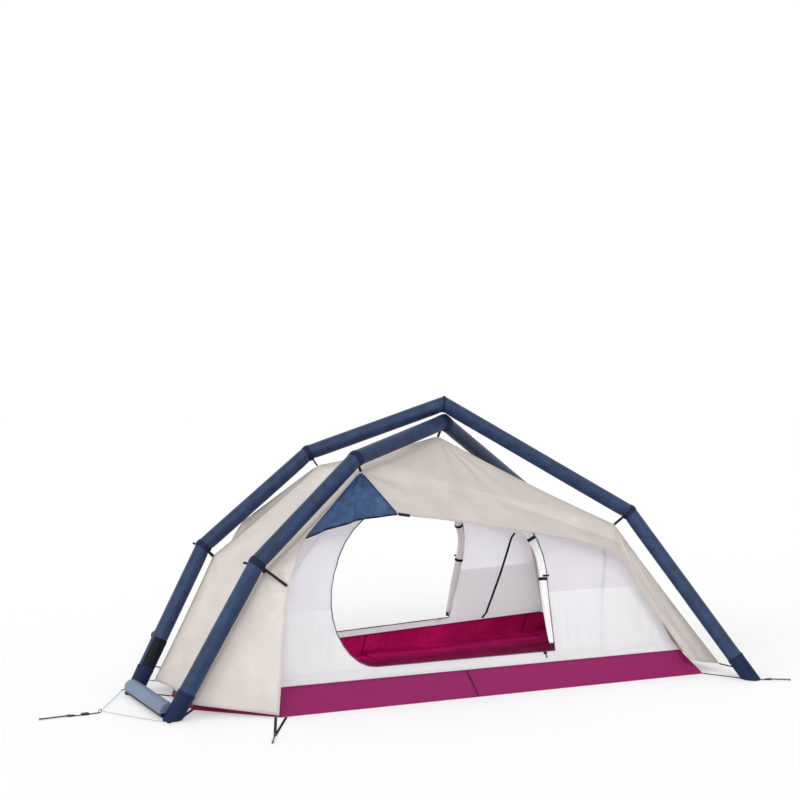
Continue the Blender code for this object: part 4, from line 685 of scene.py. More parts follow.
class TubeLine:
    """A bent line that tubes and bands follow, with mitred rings at its bends."""

    def __init__(self, points, first_normal, last_normal, reach=0.06):
        self.points = np.asarray(points, float)
        self.ways = unit(np.diff(self.points, axis=0))
        self.lengths = run_along(self.points)
        mitres = unit(self.ways[:-1] + self.ways[1:])
        self.normals = np.vstack([first_normal, mitres, last_normal])
        self.reach = reach
        start = unit(np.cross(self.ways[0], at(0, 1, 0) if abs(self.ways[0][1]) < 0.9 else at(1, 0, 0)))
        firsts = [start]
        for before, after in zip(self.ways, self.ways[1:]):
            firsts.append(turn_between(firsts[-1], before, after))
        self.firsts = np.array(firsts)

    def rings(self, stations, sides):
        """Return for each station its axis point, way, plane normal and the unit spokes round the tube."""
        last = len(self.ways) - 1
        span = np.clip(np.searchsorted(self.lengths, stations, side='right') - 1, 0, last)
        way = self.ways[span]
        axis = self.points[span] + way * (stations - self.lengths[span])[:, None]
        near_start = smooth_step(1 - (stations - self.lengths[span]) / self.reach)[:, None]
        near_end = smooth_step(1 - (self.lengths[span + 1] - stations) / self.reach)[:, None]
        to_start, to_end = self.normals[span] - way, self.normals[span + 1] - way
        normal = unit(way + to_start * near_start + to_end * near_end)
        first = self.firsts[span]
        second = np.cross(way, first)
        angle = round_angles(sides)[None, :, None]
        spokes = first[:, None] * np.cos(angle) + second[:, None] * np.sin(angle)
        return axis, way, normal, spokes

    def skin(self, stations, radii, sides):
        """Return the tube's points: spokes times their radii, slid along the way into the ring's plane."""
        axis, way, normal, spokes = self.rings(stations, sides)
        out = spokes * (radii if np.ndim(radii) == 2 else np.asarray(radii)[:, None])[..., None]
        slide = -np.einsum('ijk,ik->ij', out, normal) / np.einsum('ik,ik->i', way, normal)[:, None]
        return axis[:, None] + out + way[:, None] * slide[..., None]


def turn_between(vector, before, after):
    """Return a vector turned by the turn that takes one unit direction to another."""
    axis = np.cross(before, after)
    cosine = before @ after
    return vector * cosine + np.cross(axis, vector) + axis * (axis @ vector) / (1 + cosine)


def ground_point(foot, bend, height=0.0):
    """Return where a leg's line reaches a height."""
    return foot + (bend - foot) * ((height - foot[2]) / (bend[2] - foot[2]))


def arch_points(letter):
    """Return the bends of an arch, left foot first. Arch a runs from far left to near right."""
    side = 1 if letter == "a" else -1
    left = [ground_point(LEFT_FOOT, LOW_BEND), LOW_BEND, HIGH_BEND]
    right = [RIGHT_BEND, ground_point(RIGHT_FOOT, RIGHT_BEND)]
    return ([mirrored(place, side) for place in left] + [CROSSINGS[letter]]
            + [mirrored(place, -side) for place in right])


def bend_line(letter, number, leg, reach):
    """Return a bend of an arch, and the line through it that runs a leg's length to either side."""
    before, bend, after = arch_points(letter)[number - 1:number + 2]
    ends = [bend + unit(before - bend) * leg, bend, bend + unit(after - bend) * leg]
    return bend, TubeLine(ends, unit(bend - before), unit(after - bend), reach)


def boot_line(end, side):
    """Return a leg's ground point and its way up."""
    foot, bend = (LEFT_FOOT, LOW_BEND) if end == "left" else (RIGHT_FOOT, RIGHT_BEND)
    ground = mirrored(ground_point(foot, bend), side)
    return ground, unit(mirrored(bend, side) - ground)


def tip(node, direction):
    """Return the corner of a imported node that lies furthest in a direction."""
    mesh = frame["nodes"][node].data
    places = np.empty(len(mesh.vertices) * 3)
    mesh.vertices.foreach_get("co", places)
    places = places.reshape(-1, 3)
    return places[(places @ direction).argmax()]


def settings():
    """Return the sizes and colours of the scene."""
    return bpy.context.scene.tent_sizes, bpy.context.scene.tent_colours


FINISHES = {}


def finish_of(name):
    """Return a finish, made at its first use."""
    _, colours = settings()
    makers = {
        "frame": lambda: cloth_finish("arch_cloth", colours.frame, 0.36, stitches=(0.004,), crumple=0.0024,
                                      mottle=0.50, patch=19.0, sheen=0.25),
        "band": lambda: cloth_finish("band_cloth", linear(16, 27, 56), 0.55, crumple=0.0005),
        "flap": lambda: cloth_finish("flap_cloth", linear(10, 12, 26), 0.6, crumple=0.0006,
                                     stitches=(0.004,)),
        "boot": lambda: cloth_finish("boot_cloth", linear(18, 34, 66), 0.58, thread=0.0016, depth=0.0004,
                                     stitches=(0.005, 0.009), crumple=0.0010),
        "fly": lambda: cloth_finish("fly_cloth", colours.fly, 0.66, cell=0.006, stitches=(0.002, 0.010),
                                    crumple=0.0030, through=0.36, mottle=0.90, patch=8.0),
        # The awning's cloth takes a painted shade above its crease.
        "awning": lambda: cloth_finish("awning_cloth", colours.fly, 0.66, cell=0.006,
                                       stitches=(0.002, 0.010), crumple=0.0034, through=0.36, mottle=0.88,
                                       patch=8.0, crease=AWNING_SHADED_CREASE),
        "seam": lambda: cloth_finish("seam_cloth", darker(colours.fly, 0.90), 0.66, crumple=0.0004,
                                     through=0.3),
        "vent": lambda: cloth_finish("vent_cloth", colours.vent, 0.50, stitches=(0.003, 0.009), mottle=0.56,
                                     crumple=0.0040, through=0.10, patch=24.0),
        "inner": inner_finish,
        # The rolled door's cloth takes a painted glow.
        "roll": lambda: cloth_finish("roll_cloth", darker(colours.inner, 0.97), 0.78, crumple=0.0014,
                                     through=0.25, glow=0.12),
        "tray": lambda: cloth_finish("tray_outside", colours.tray, 0.44, cell=0.007,
                                     stitches=(0.002, 0.009), crumple=0.0010),
        "tray_inside": tray_inside_finish,
        "tray_tape": lambda: cloth_finish("tray_tape", linear(70, 10, 44), 0.5, crumple=0.0004),
        "foot_tube": foot_tube_finish,
        "webbing": lambda: webbing_finish("black_webbing", (0.013, 0.013, 0.016)),
        "grey_webbing": lambda: webbing_finish("grey_webbing", linear(92, 92, 98)),
        "plastic": lambda: plastic_finish("black_plastic", (0.012, 0.012, 0.013), 0.42),
        "metal": lambda: metal_finish("peg_wire", linear(84, 85, 88)),
        "cord": lambda: cord_finish("guy_cord", linear(176, 176, 172)),
        "film": lambda: plastic_finish("bladder_film", linear(190, 196, 200), 0.35),
    }
    if name not in FINISHES:
        FINISHES[name] = makers[name]()
    return FINISHES[name]


def inner_finish():
    """Make the inner tent's cloth: plain weave below the net's seam and fine netting above it, with a painted
    shade along its edges and a painted glow all over.
    """
    _, colours = settings()
    base = tuple(colours.inner)
    finish = Finish("inner_cloth", base, 0.80)
    _, (across, along, _) = finish.place("UV")
    body, (_, _, z) = finish.place("Object")
    netting = finish.step(z, NET_HEIGHT + 0.004, NET_HEIGHT + 0.005)
    patches = finish.noise(body, 7.0, 4.0)
    wrinkles = finish.noise(body, 45.0, 4.0)
    threads = abs(across.wave(0.0016) * along.wave(0.0016))
    seam_tape = (abs(z - NET_HEIGHT) < 0.005) * 0.35
    tone = finish.mix(finish.step(patches, 0.3, 0.7), darker(base, 0.95), base)
    tone = finish.mix(netting * 0.4, tone, linear(228, 228, 238))
    tone = finish.mix(threads * netting * 0.25, tone, linear(190, 190, 205))
    edge = finish.attribute("edge")
    # Painted shade along the edges: the cloth darkens within 14 mm of its door and its rim.
    tone = finish.mix(finish.step(edge, 0.014, 0.008) * 0.20, tone, darker(base, 0.55))
    tone = finish.mix(seam_tape, tone, (0.98, 0.98, 0.98))
    # Painted glow: the cloth gives off light, a pale grey-green below the net's seam and the netting's own
    # tone above it.
    finish.feed(Base_Color=tone, Roughness=patches * 0.12 + 0.74, Alpha=1 - netting * 0.35,
                Emission_Color=finish.mix(netting, (0.405, 0.435, 0.425), tone))
    finish.relief(threads * 0.0004 + wrinkles * 0.0016, 1.0)
    finish.hold(Emission_Strength=0.50)
    finish.let_through(0.56)
    return finish


def tray_inside_finish():
    """Make the tray's coated inside: long soft folds drawn with dark painted shade lines, painted shade on
    its wrinkles, a painted shadow of the near wall over its floor, full up to y 0.24 and gone by y 0.54, and
    a faint painted glow.
    """
    base = linear(204, 26, 112)
    finish = Finish("tray_inside", base, 0.46)
    body, (x, y, z) = finish.place("Object")
    patches = finish.noise(body, 6.0, 4.0)
    wrinkles = finish.noise(body, 30.0, 5.0)
    wander = finish.noise(body, 2.2, 2.0)
    fold = (y + wander * 0.34 + patches * 0.05).wave(0.21) * 0.5 + 0.5
    ground = finish.step(z, 0.030, 0.012)
    tone = finish.mix(finish.step(patches, 0.30, 0.70), darker(base, 0.72), base)
    # Painted shade on the wrinkles: the floor darkens where their noise rises.
    tone = finish.mix(finish.step(wrinkles, 0.40, 0.64) * 0.5, tone, darker(base, 0.62))
    # Painted shade along the folds: dark lines where the fold's wave peaks, on the floor only.
    tone = finish.mix(finish.step(fold, 0.72, 1.0) * patches * 0.85 * ground, tone, darker(base, 0.14))
    # Painted shadow of the near wall: the floor darkens fully below y 0.24, fading out by y 0.54.
    tone = finish.mix(finish.step(y, 0.54, 0.24) * 0.70 * ground, tone, darker(base, 0.09))
    for place in FLOOR_SEAMS:
        tone = finish.mix((abs(x - place) < 0.005) * 0.7, tone, darker(base, 0.10))
    # Painted glow: the coated inside gives off a little light in its own tone.
    finish.feed(Base_Color=tone, Emission_Color=tone, Roughness=patches * 0.2 + 0.55)
    finish.hold(Emission_Strength=0.12, Specular_IOR_Level=0.03)
    finish.relief(wrinkles * 0.004 + fold * 0.01, 1.0)
    return finish


def foot_tube_finish():
    """Make the foot tube's cloth: pale and coated, with a painted shade that darkens it to navy along the
    ground and a painted grey-purple shade over its near part.
    """
    _, colours = settings()
    base = tuple(colours.foot_tube)
    finish = Finish("foot_tube_cloth", base, 0.42)
    body, (_, y, z) = finish.place("Object")
    patches = finish.noise(body, 9.0, 4.0)
    wrinkles = finish.noise(body, 55.0, 4.0)
    # Painted shade along the ground: below about 26 to 31 mm, with a wavering edge, the tube turns dark navy.
    dark = finish.step(z + (patches - 0.5) * 0.006, 0.031, 0.026)
    tone = finish.mix(finish.step(patches, 0.3, 0.7), darker(base, 0.86), base)
    # Painted shade: the near part of the tube turns a greyer purple, fully below y -0.22 and not at all
    # beyond y 0.05.
    tone = finish.mix(finish.step(y, 0.05, -0.22) * 0.45, tone, linear(112, 106, 136))
    tone = finish.mix(dark, tone, linear(20, 26, 50))
    finish.feed(Base_Color=tone, Roughness=patches * 0.2 + 0.34)
    finish.relief(wrinkles, 0.0012)
    return finish


def grid_run(points):
    """Return each grid point's distance from its row's start and end and from its column's two ends."""
    across = np.linalg.norm(np.diff(points, axis=1, prepend=points[:, :1]), axis=-1).cumsum(1)
    down = np.linalg.norm(np.diff(points, axis=0, prepend=points[:1]), axis=-1).cumsum(0)
    return across, across[:, -1:] - across, down, down[-1:] - down


def grid_normals(points, away):
    """Return unit normals of a grid that point away from a place."""
    normal = np.cross(np.gradient(points, axis=0), np.gradient(points, axis=1))
    normal = normal / np.maximum(np.linalg.norm(normal, axis=-1, keepdims=True), 1e-12)
    facing = np.sign(np.einsum('ijk,ijk->', normal, points - away))
    return normal * facing


def spread(count, ends=0.35):
    """Return count shares from 0 to 1 that lie closer together near both ends."""
    even = np.linspace(0, 1, count)
    return even - ends * np.sin(2 * math.pi * even) / (2 * math.pi)


def seam(start, end, share, sag):
    """Return points of a seam: start + (end - start) t, lowered by 4 sag t (1 - t)."""
    share = np.asarray(share, float)[..., None]
    return start + (end - start) * share - UP * np.asarray(sag, float)[..., None] * 4 * share * (1 - share)


def seam_chain(corners, share, sags=0.0):
    """Return points of a chain of seams; the whole part of a share counts the seams that lie behind it."""
    corners = np.asarray(corners)
    share = np.asarray(share, float)
    span = np.clip(share.astype(int), 0, len(corners) - 2)
    sags = np.broadcast_to(np.asarray(sags, float), len(corners) - 1)
    return seam(corners[span], corners[span + 1], share - span, sags[span])


def rounded(grid_at, u, v, top, reach=0.22):
    """Round a panel's kinks between its seams: the mean of the panel at v and at v + and - a small way h,
    where h grows with sin(pi u) and closes towards both ends."""
    h = reach * np.sin(math.pi * u) * np.clip(np.minimum(v, top - v) / reach, 0, 1)
    return (grid_at(u, v) * 2 + grid_at(u, v - h) + grid_at(u, v + h)
            + grid_at(u, v - h * 0.5) * 2 + grid_at(u, v + h * 0.5) * 2) / 8


def dressed_panel(name, points, held, corners, seed, finish, away=INSIDE, sag=None, folds=7, rise=1.0,
                  hem=True):
    """Make a cloth panel from its plain grid. Along its normal it takes a hollow, -sag sin(pi u) sin(pi v),
    folds from each held corner, depth cos(n a) (r / s) exp(1 - r / s), waves, which all fade at held seams,
    and small puckers along every edge."""
    sizes, _ = settings()
    left, right, top, bottom = grid_run(points)
    distances = {"left": left, "right": right, "top": top, "bottom": bottom}
    hold = np.ones(points.shape[:2])
    for edge_name in held:
        hold = hold * (1 - np.exp(-(distances[edge_name] / HOLD_WIDTH) ** 2))
    width = np.maximum(left + right, 1e-6)
    height = np.maximum(top + bottom, 1e-6)
    hollow = np.sin(math.pi * left / width) * np.sin(math.pi * top / height)
    normal = grid_normals(points, away)
    lift = -(sizes.panel_sag if sag is None else sag) * hollow
    for number, (row, column) in enumerate(corners):
        ahead, beside = top - top[row, column], left - left[row, column]
        share = np.linalg.norm(points - points[row, column], axis=-1) / FOLD_REACH
        fold = np.cos(folds * np.arctan2(ahead, beside) + number * 1.3) * share * np.exp(1 - share)
        lift = lift + sizes.fold_depth * fold * hold * rise
    lift = lift + 0.0016 * waves(left, top, seed) * hold
    edge = np.minimum.reduce([left, right, top, bottom])
    pucker = np.sin((left + top) * 2 * math.pi / 0.019) * np.sin((left - top) * 31)
    lift = lift + 0.0005 * np.exp(-(edge / 0.016) ** 2) * pucker
    if hem:
        lift = lift + 0.0005 * smooth_step((sizes.hem_width - edge) / 0.0015 + 0.5)
    points = points + normal * lift[..., None]
    return surface(name, points, finish, uv=cloth_map(left, top), edge=edge, away=away, thickness=CLOTH)


def chain_shares(count, spans, ends):
    """Return the shares of a chain of spans, count in each; a span leaves its first to the one before."""
    return np.concatenate([span + spread(count, ends)[min(span, 1):] for span in range(spans)])


def net(u_count, v_count, spans_u=1, spans_v=1, ends=0.35):
    """Return the two parameter grids of a panel with so many spans each way."""
    return np.meshgrid(chain_shares(u_count, spans_u, ends), chain_shares(v_count, spans_v, ends))


def curve_row(corners, share):
    """Return points of the smooth curve through corners at shares counted in corners: (2 b + (c - a) t
    + (2 a - 5 b + 4 c - d) t^2 + (3 b - a - 3 c + d) t^3) / 2 between b and c."""
    given = np.asarray(corners, float)
    padded = np.vstack([given[0] * 2 - given[1], given, given[-1] * 2 - given[-2]])
    span = np.clip(share.astype(int), 0, len(given) - 2)
    t = (share - span)[..., None]
    a, b, c, d = (padded[span + step] for step in range(4))
    squared = (a * 2 - b * 5 + c * 4 - d) * t ** 2
    return (b * 2 + (c - a) * t + squared + (b * 3 - a - c * 3 + d) * t ** 3) / 2


def across_seams(corners, sags):
    """Return the plain panel whose rows run straight from the near chain of seams to the far one."""
    def grid_at(u, v):
        share = np.clip(v, 0, len(corners) - 1)
        near = seam_chain([mirrored(corner, -1) for corner in corners], share, sags)
        far = seam_chain(corners, share, sags)
        return near + (far - near) * u[..., None]

    return grid_at


def make_fly_ends():
    """Make the roof panels of the two ends, whose last seam is lifted into a low bow by sin(pi u)."""
    sizes, _ = settings()
    columns = 72
    for end, names, sags, rows, reach, hollow, seed, flat, area in (
            ("left", ("ridge", "high", "low", "nose"), at(1, 1, 1), 46, 0.10, 0.010, 4.0,
             (0.74, 1.62), 0.790),
            ("right", ("ridge", "right", "skirt_out"), at(1.5, 1), 62, 0.16, 0.014, 3.0,
             (1.24, 1.74), 1.085)):
        top = len(names) - 1
        u, v = net(columns, rows, 1, top)
        plain = across_seams([FLY[corner] for corner in names], sizes.seam_sag * sags)
        points = rounded(plain, u, v, top, reach)
        droop = np.clip(v - (top - 1), 0, 1)
        points = points + UP * (0.016 * np.sin(math.pi * u) * droop ** 3)[..., None]
        fold_rows = (rows - 1, (rows - 1) * (top - 1), points.shape[0] - 1)
        corners = [(row, column) for row in fold_rows for column in (0, columns - 1)]
        panel = dressed_panel(f"fly_end_{end}_cloth", points, ("left", "right", "top"), corners, seed,
                              finish_of("fly"), sag=hollow)
        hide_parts(f"fly_end_{end}")


def roof_seam(place, share):
    """Return points of the seam from the high band over the ridge down to the skirt's outer corner."""
    sag = settings()[0].seam_sag
    corners = [place[corner] for corner in ("high", "ridge", "right", "skirt_out")]
    return seam_chain(corners, share, (sag, sag * 1.5, sag))


def high_seam(place, corner, share, sag=0.0):
    """Return points of the seam from the high corner to another one, less the end that is trimmed off."""
    trim = CORNER_TRIM / np.linalg.norm(place[corner] - place["high"])
    return seam(place["high"], place[corner], trim + (1 - trim) * share, sag)


def make_awning(side, name):
    """Make an awning with its skirt: from the roof seam to the smooth curve of its free edge, with a long
    crease, -d h^1.1 sin(pi u / 3.4)^0.7, where h falls straight from 1 at the crease to 0 at both edges."""
    sizes, _ = settings()
    place = on_side(FLY, side)
    low_names = ("awning_left", "awning_middle", "awning_bend", "awning_right", "awning_corner", "skirt_in")
    low_corners = [place[corner] for corner in low_names]
    u, v = net(40, 52, 5, 1, 0.2)
    top = roof_seam(place, np.interp(u, np.arange(6), AWNING_ROOF_SHARES))
    chain = seam_chain(low_corners, u)
    low = np.where((u > 4)[..., None], chain, curve_row(low_corners, u) * 0.75 + chain * 0.25)
    points = top + (low - top) * v[..., None]
    along_skirt = np.clip((u - 3) / 2, 0, 1)
    fold = np.sin(math.pi * 2 * v) ** 2 * np.sin(math.pi * along_skirt / 2) * 0.0045
    crease_at = np.clip(0.62 * (1 - np.exp(-u / 0.4)) - 0.13 * np.maximum(u - 1, 0), 0.04, 0.9)
    hollow = np.clip(1 - np.abs(v - crease_at) / np.where(v < crease_at, crease_at, 1 - crease_at), 0, 1)
    fold = fold - sizes.awning_fold * hollow ** 1.1 * np.sin(math.pi * np.clip(u / 3.4, 0, 1)) ** 0.7
    points = points + at(0, side, 0.4) * fold[..., None]
    corners = [(0, 39), (0, 117), (0, points.shape[1] - 1), (0, 0)]
    panel = dressed_panel(f"fly_awning_{name}_cloth", points, ("left", "top"), corners, 4.0 + side,
                          finish_of("awning"), away=at(0.1, 0.0, 0.2), sag=0.006, folds=9, rise=0.9)
    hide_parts(f"fly_awning_{name}")
    start = place["awning_left"]
    hem = unit(place["awning_middle"] - start)
    strap(f"fly_clip_{name}", straight(start + hem * 0.004, start + hem * 0.060), at(0, side, 0.2), 0.013,
          0.0040, finish_of("webbing"))


def make_fly_side(side, name):
    """Make a side panel: rows from the seam of the fly's end to the vent and the free edge by the door."""
    sizes, _ = settings()
    sag = sizes.seam_sag
    place = on_side(FLY, side)
    u, v = net(40, 44, 1, 3)
    upper = high_seam(place, "low", np.clip(v / 2, 0, 1), sag)
    lower = seam(place["low"], place["nose"], np.clip(v - 2, 0, 1), sag)
    left = np.where((v < 2)[..., None], upper, lower)
    edge_corners = [place["vent"], place["waist"], place["shoulder"]]
    along_edge = np.clip(v - 1, 0, 2)
    edge = curve_row(edge_corners, along_edge) * 0.35 + seam_chain(edge_corners, along_edge) * 0.65
    right = np.where((v < 1)[..., None], high_seam(place, "vent", np.clip(v, 0, 1)), edge)
    points = left + (right - left) * u[..., None]
    last = points.shape[0] - 1
    panel = dressed_panel(f"fly_side_{name}_cloth", points, ("left", "top"),
                          [(86, 39), (86, 0), (last, 0), (last, 39)], 6.0 + side, finish_of("fly"),
                          sag=0.004, folds=8)
    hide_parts(f"fly_side_{name}")


def make_fly_vent(side, name):
    """Make a blue vent panel, gathered into folds by sin(5 pi u) and sin(12 pi u), with its binding."""
    place = on_side(FLY, side)
    u, v = net(56, 44)
    first, second = high_seam(place, "vent", v), high_seam(place, "awning_left", v)
    points = first + (second - first) * u[..., None]
    across = np.sin(math.pi * u)
    fold = 0.012 * np.sin(math.pi * 5 * u + 1.2 * v) * across * v ** 0.5
    fine = 0.0050 * np.sin(math.pi * 12 * u - 4 * v) * across * v ** 0.35
    rise = 0.018 * across * v ** 2
    points = points + at(0, side, 0) * (fold + fine)[..., None] + UP * rise[..., None]
    vent = dressed_panel(f"fly_vent_{name}_cloth", points, ("left", "right"), [(0, 28)], 8.0 + side,
                         finish_of("vent"), sag=0.0, folds=11, rise=0.5)
    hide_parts(f"fly_vent_{name}")
    hem = smooth_line(points[-1, ::5], 70) - UP * 0.001
    strap(f"fly_vent_{name}_binding", hem, at(0, side, 0.4), 0.008, 0.0018, finish_of("flap"))


def make_seam_tapes(side, name):
    """Make the folded tapes that cover the fly's seams on one side, carried along the same seam lines."""
    sag = settings()[0].seam_sag
    place = on_side(FLY, side)
    left_corners = [place[corner] for corner in ("high", "low", "nose")]
    left = seam_chain(left_corners, np.linspace(0.02, 1.985, 130), (sag, sag))
    vent = seam(place["high"], place["vent"], np.linspace(0.06, 0.97, 50), 0.0)
    eave = seam(place["high"], place["awning_left"], np.linspace(0.08, 0.96, 40), 0.0)
    for number, (path, facing, width, finish) in enumerate((
            (roof_seam(place, np.linspace(0.02, 2.985, 190)), at(0.1, side * 0.8, 1.0), 0.007, "seam"),
            (left, at(-0.5, side * 0.9, 0.6), 0.007, "seam"),
            (vent, at(-0.1, side * 1.0, 0.5), 0.006, "band"),
            (eave, at(0.0, side * 0.8, 0.8), 0.006, "band"))):
        outward = unit(facing)
        strap(f"fly_seam_{name}_{number + 1}", path + outward * 0.0005, outward, width, 0.0011,
              finish_of(finish))


def wall_rows(side):
    """Return the control rows of a long inner wall from the tray's rim up to the ridge."""
    top = [INNER[corner] for corner in ("waist", "high", "ridge", "right")]
    rows = []
    for first, last in ((RIM[1], RIM[2]), (INNER["sill_left"], INNER["sill_right"])):
        bends = [(top[number][0] - first[0]) / (last[0] - first[0]) for number in (1, 2)]
        rows.append([first + (last - first) * share for share in (0.0, *bends, 1.0)])
    rim, sill = rows
    levels = [rim]
    for height, inward in zip(HEIGHT_SHARES, INWARD_SHARES):
        shares = at(height, inward, height)
        levels.append([low + (high - low) * shares for low, high in zip(sill, top)])
    return mirrored(np.array(levels), side)


def patch(rows, across, down):
    """Return points of control rows, each cell filled as (1-s)(1-t) a + s(1-t) b + (1-s)t c + st d."""
    row = np.clip(down.astype(int), 0, rows.shape[0] - 2)
    column = np.clip(across.astype(int), 0, rows.shape[1] - 2)
    s = (across - column)[..., None]
    t = (down - row)[..., None]
    upper = rows[row, column] * (1 - s) + rows[row, column + 1] * s
    lower = rows[row + 1, column] * (1 - s) + rows[row + 1, column + 1] * s
    return upper * (1 - t) + lower * t


def wall_at(x, z, side):
    """Return the points of a long wall at places in side view, by damped steps of Newton's method."""
    rows = wall_rows(side)
    across, down, step = np.full(x.shape, 1.5), np.full(x.shape, 2.0), 0.001
    for _ in range(30):
        here = patch(rows, across, down)
        ahead = (patch(rows, across + step, down) - here) / step
        above = (patch(rows, across, down + step) - here) / step
        miss_x, miss_z = x - here[..., 0], z - here[..., 2]
        stretch = ahead[..., 0] * above[..., 2] - ahead[..., 2] * above[..., 0]
        across = np.clip(across + (miss_x * above[..., 2] - miss_z * above[..., 0]) / stretch * 0.7, 0, 3)
        down = np.clip(down + (miss_z * ahead[..., 0] - miss_x * ahead[..., 2]) / stretch * 0.7, 0, 4)
    return patch(rows, across, down)


def door_outline():
    """Return a door's outline in side view, from its sill's right end round: three quarter ellipses."""
    def quarter(centre, wide, tall, start, end, steps):
        angle = np.radians(np.linspace(start, end, steps + 1))
        return np.stack([centre[0] + wide * np.cos(angle), centre[1] + tall * np.sin(angle)], -1)

    return np.vstack([[(0.305, 0.15)], quarter((0.0, 0.50), 0.33, 0.36, 0, 90, 8),
                      quarter((-0.30, 0.42), 0.455, 0.44, 90, 180, 10),
                      quarter((-0.56, 0.42), 0.195, 0.27, 180, 270, 7)[1:]])


def ray_reach(outline, centre, angles):
    """Return how far rays from a centre run before they meet a closed outline."""
    start = outline - centre
    run = np.roll(start, -1, axis=0) - start
    way = np.stack([np.cos(angles), np.sin(angles)], -1)
    cross = way[:, None, 0] * run[None, :, 1] - way[:, None, 1] * run[None, :, 0]
    cross = np.where(np.abs(cross) < 1e-12, 1e-12, cross)
    reach = (start[None, :, 0] * run[None, :, 1] - start[None, :, 1] * run[None, :, 0]) / cross
    share = (start[None, :, 0] * way[:, None, 1] - start[None, :, 1] * way[:, None, 0]) / cross
    hit = (reach > 0) & (share > -1e-6) & (share < 1 + 1e-6)
    return np.where(hit, reach, np.inf).min(1)


def make_inner_wall(side, name):
    """Make a long wall with its door: rings between the door's outline and the wall's own in side view,
    with the third coordinate from the wall's patch, hollowed and rippled between its seams."""
    outer = np.array([place[[0, 2]] for place in (
        RIM[2], INNER["sill_right"], INNER["right"], INNER["ridge"], INNER["high"], INNER["waist"],
        INNER["sill_left"], RIM[1])])
    outer[[0, -1], 1] += RIM_LIFT
    centre = at(-0.22, 0.45)
    corners = np.vstack([outer, door_outline()[[0, 1, -1]]]) - centre
    even = np.linspace(-math.pi, math.pi, 300, endpoint=False)
    angles = np.unique(np.round(np.append(even, np.arctan2(corners[:, 1], corners[:, 0])), 6))
    inner_reach = ray_reach(door_outline(), centre, angles)
    outer_reach = ray_reach(outer, centre, angles)
    reach = inner_reach + (outer_reach - inner_reach) * spread(40, 0.5)[:, None]
    x = centre[0] + reach * np.cos(angles)
    z = centre[1] + reach * np.sin(angles)
    from_door = reach - inner_reach
    to_edge = outer_reach - reach
    hold = (1 - np.exp(-(from_door / 0.03) ** 2)) * (1 - np.exp(-(to_edge / 0.04) ** 2))
    ripple = 0.0020 * waves(x, z, 11.0 + side, (0.24, 0.11, 0.06, 0.037)) * hold
    drape = 0.0016 * np.sin(x * 2 * math.pi / 0.055 + 3 * np.sin(z * 9)) * hold
    drape = drape * smooth_step((NET_HEIGHT - z) / 0.1)
    net_seam = 0.0006 * np.exp(-((z - NET_HEIGHT) / 0.004) ** 2)
    points = wall_at(x, z, side) + at(0, side, 0) * (ripple + drape + net_seam)[..., None]
    wall = surface(f"inner_wall_{name}_cloth", points, finish_of("inner"), wrap=True, uv=cloth_map(x, z),
                   edge=np.minimum(from_door, to_edge), away=INSIDE, thickness=CLOTH)
    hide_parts(f"inner_wall_{name}")


def make_door_zip(side, name):
    """Make the zip round a door: a toothed binding that follows the door's outline on the wall."""
    outline = door_outline()
    closed = np.vstack([outline, outline[:1]])
    run = run_along(closed)
    even = np.linspace(0, run[-1], 360, endpoint=False)
    path = wall_at(np.interp(even, run, closed[:, 0]), np.interp(even, run, closed[:, 1]), side)
    teeth = 1 + 0.10 * np.sin(even * 2 * math.pi / 0.009)[:, None]
    closed_binding(f"door_{name}_zip", path, at(0.0, side, 0.1), 0.0026, 0.0012, finish_of("grey_webbing"),
                   teeth=teeth)


def across_rows(rows):
    """Return the plain panel that fills control rows, with its whole width from 0 to 1."""
    def grid_at(share, down):
        return patch(rows, share * (rows.shape[1] - 1), np.clip(down, 0, rows.shape[0] - 1))

    return grid_at


def make_inner_ends():
    """Make the two end panels of the inner tent."""
    third = at(1, 1 / 3, 1)
    far_left = [(INNER["ridge"], INNER["ridge"] * third), (INNER["high"], INNER["high"] * third),
                (INNER["waist"], INNER["nose_top"]), (INNER["sill_left"], INNER["nose_sill"]),
                (RIM[1] + UP * RIM_LIFT, RIM[0] + UP * RIM_LIFT)]
    far_right = [INNER["ridge"], INNER["right"], INNER["sill_right"], RIM[2] + UP * RIM_LIFT]
    left_rows = np.array([[mirrored(a, -1), mirrored(b, -1), b, a] for a, b in far_left])
    right_rows = np.array([[mirrored(place, -1), place] for place in far_right])
    for end, rows, counts, flat, area, seed in (
            ("left", left_rows, (26, 24), (0.90, 1.60), 0.781, 15.0),
            ("right", right_rows, (70, 34), (1.17, 1.34), 0.811, 17.0)):
        spans_u, spans_v = rows.shape[1] - 1, rows.shape[0] - 1
        u, v = net(counts[0], counts[1], spans_u, spans_v, 0.1)
        points = rounded(across_rows(rows), u / spans_u, v, spans_v, 0.12)
        corners = [(counts[1] - 1, 0), (counts[1] - 1, points.shape[1] - 1)]
        panel = dressed_panel(f"inner_end_{end}_cloth", points, ("left", "right", "top", "bottom"), corners,
                              seed, finish_of("inner"), away=at(-0.1, 0, 0.25), sag=0.006, folds=6, hem=False)
        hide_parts(f"inner_end_{end}")


def all_round(places):
    """Return three far corners of the tray and their mirror images, in their order round it."""
    return [mirrored(place, -1) for place in places] + places[::-1]


def tray_line(places):
    """Return the points of the closed line through the tray's six corners, evenly between each two."""
    corners = all_round(places)
    following = corners[1:] + corners[:1]
    counts = (34, 130, 90, 130, 34, 24)
    return np.vstack([start + (end - start) * np.linspace(0, 1, count, endpoint=False)[:, None]
                      for start, end, count in zip(corners, following, counts)])


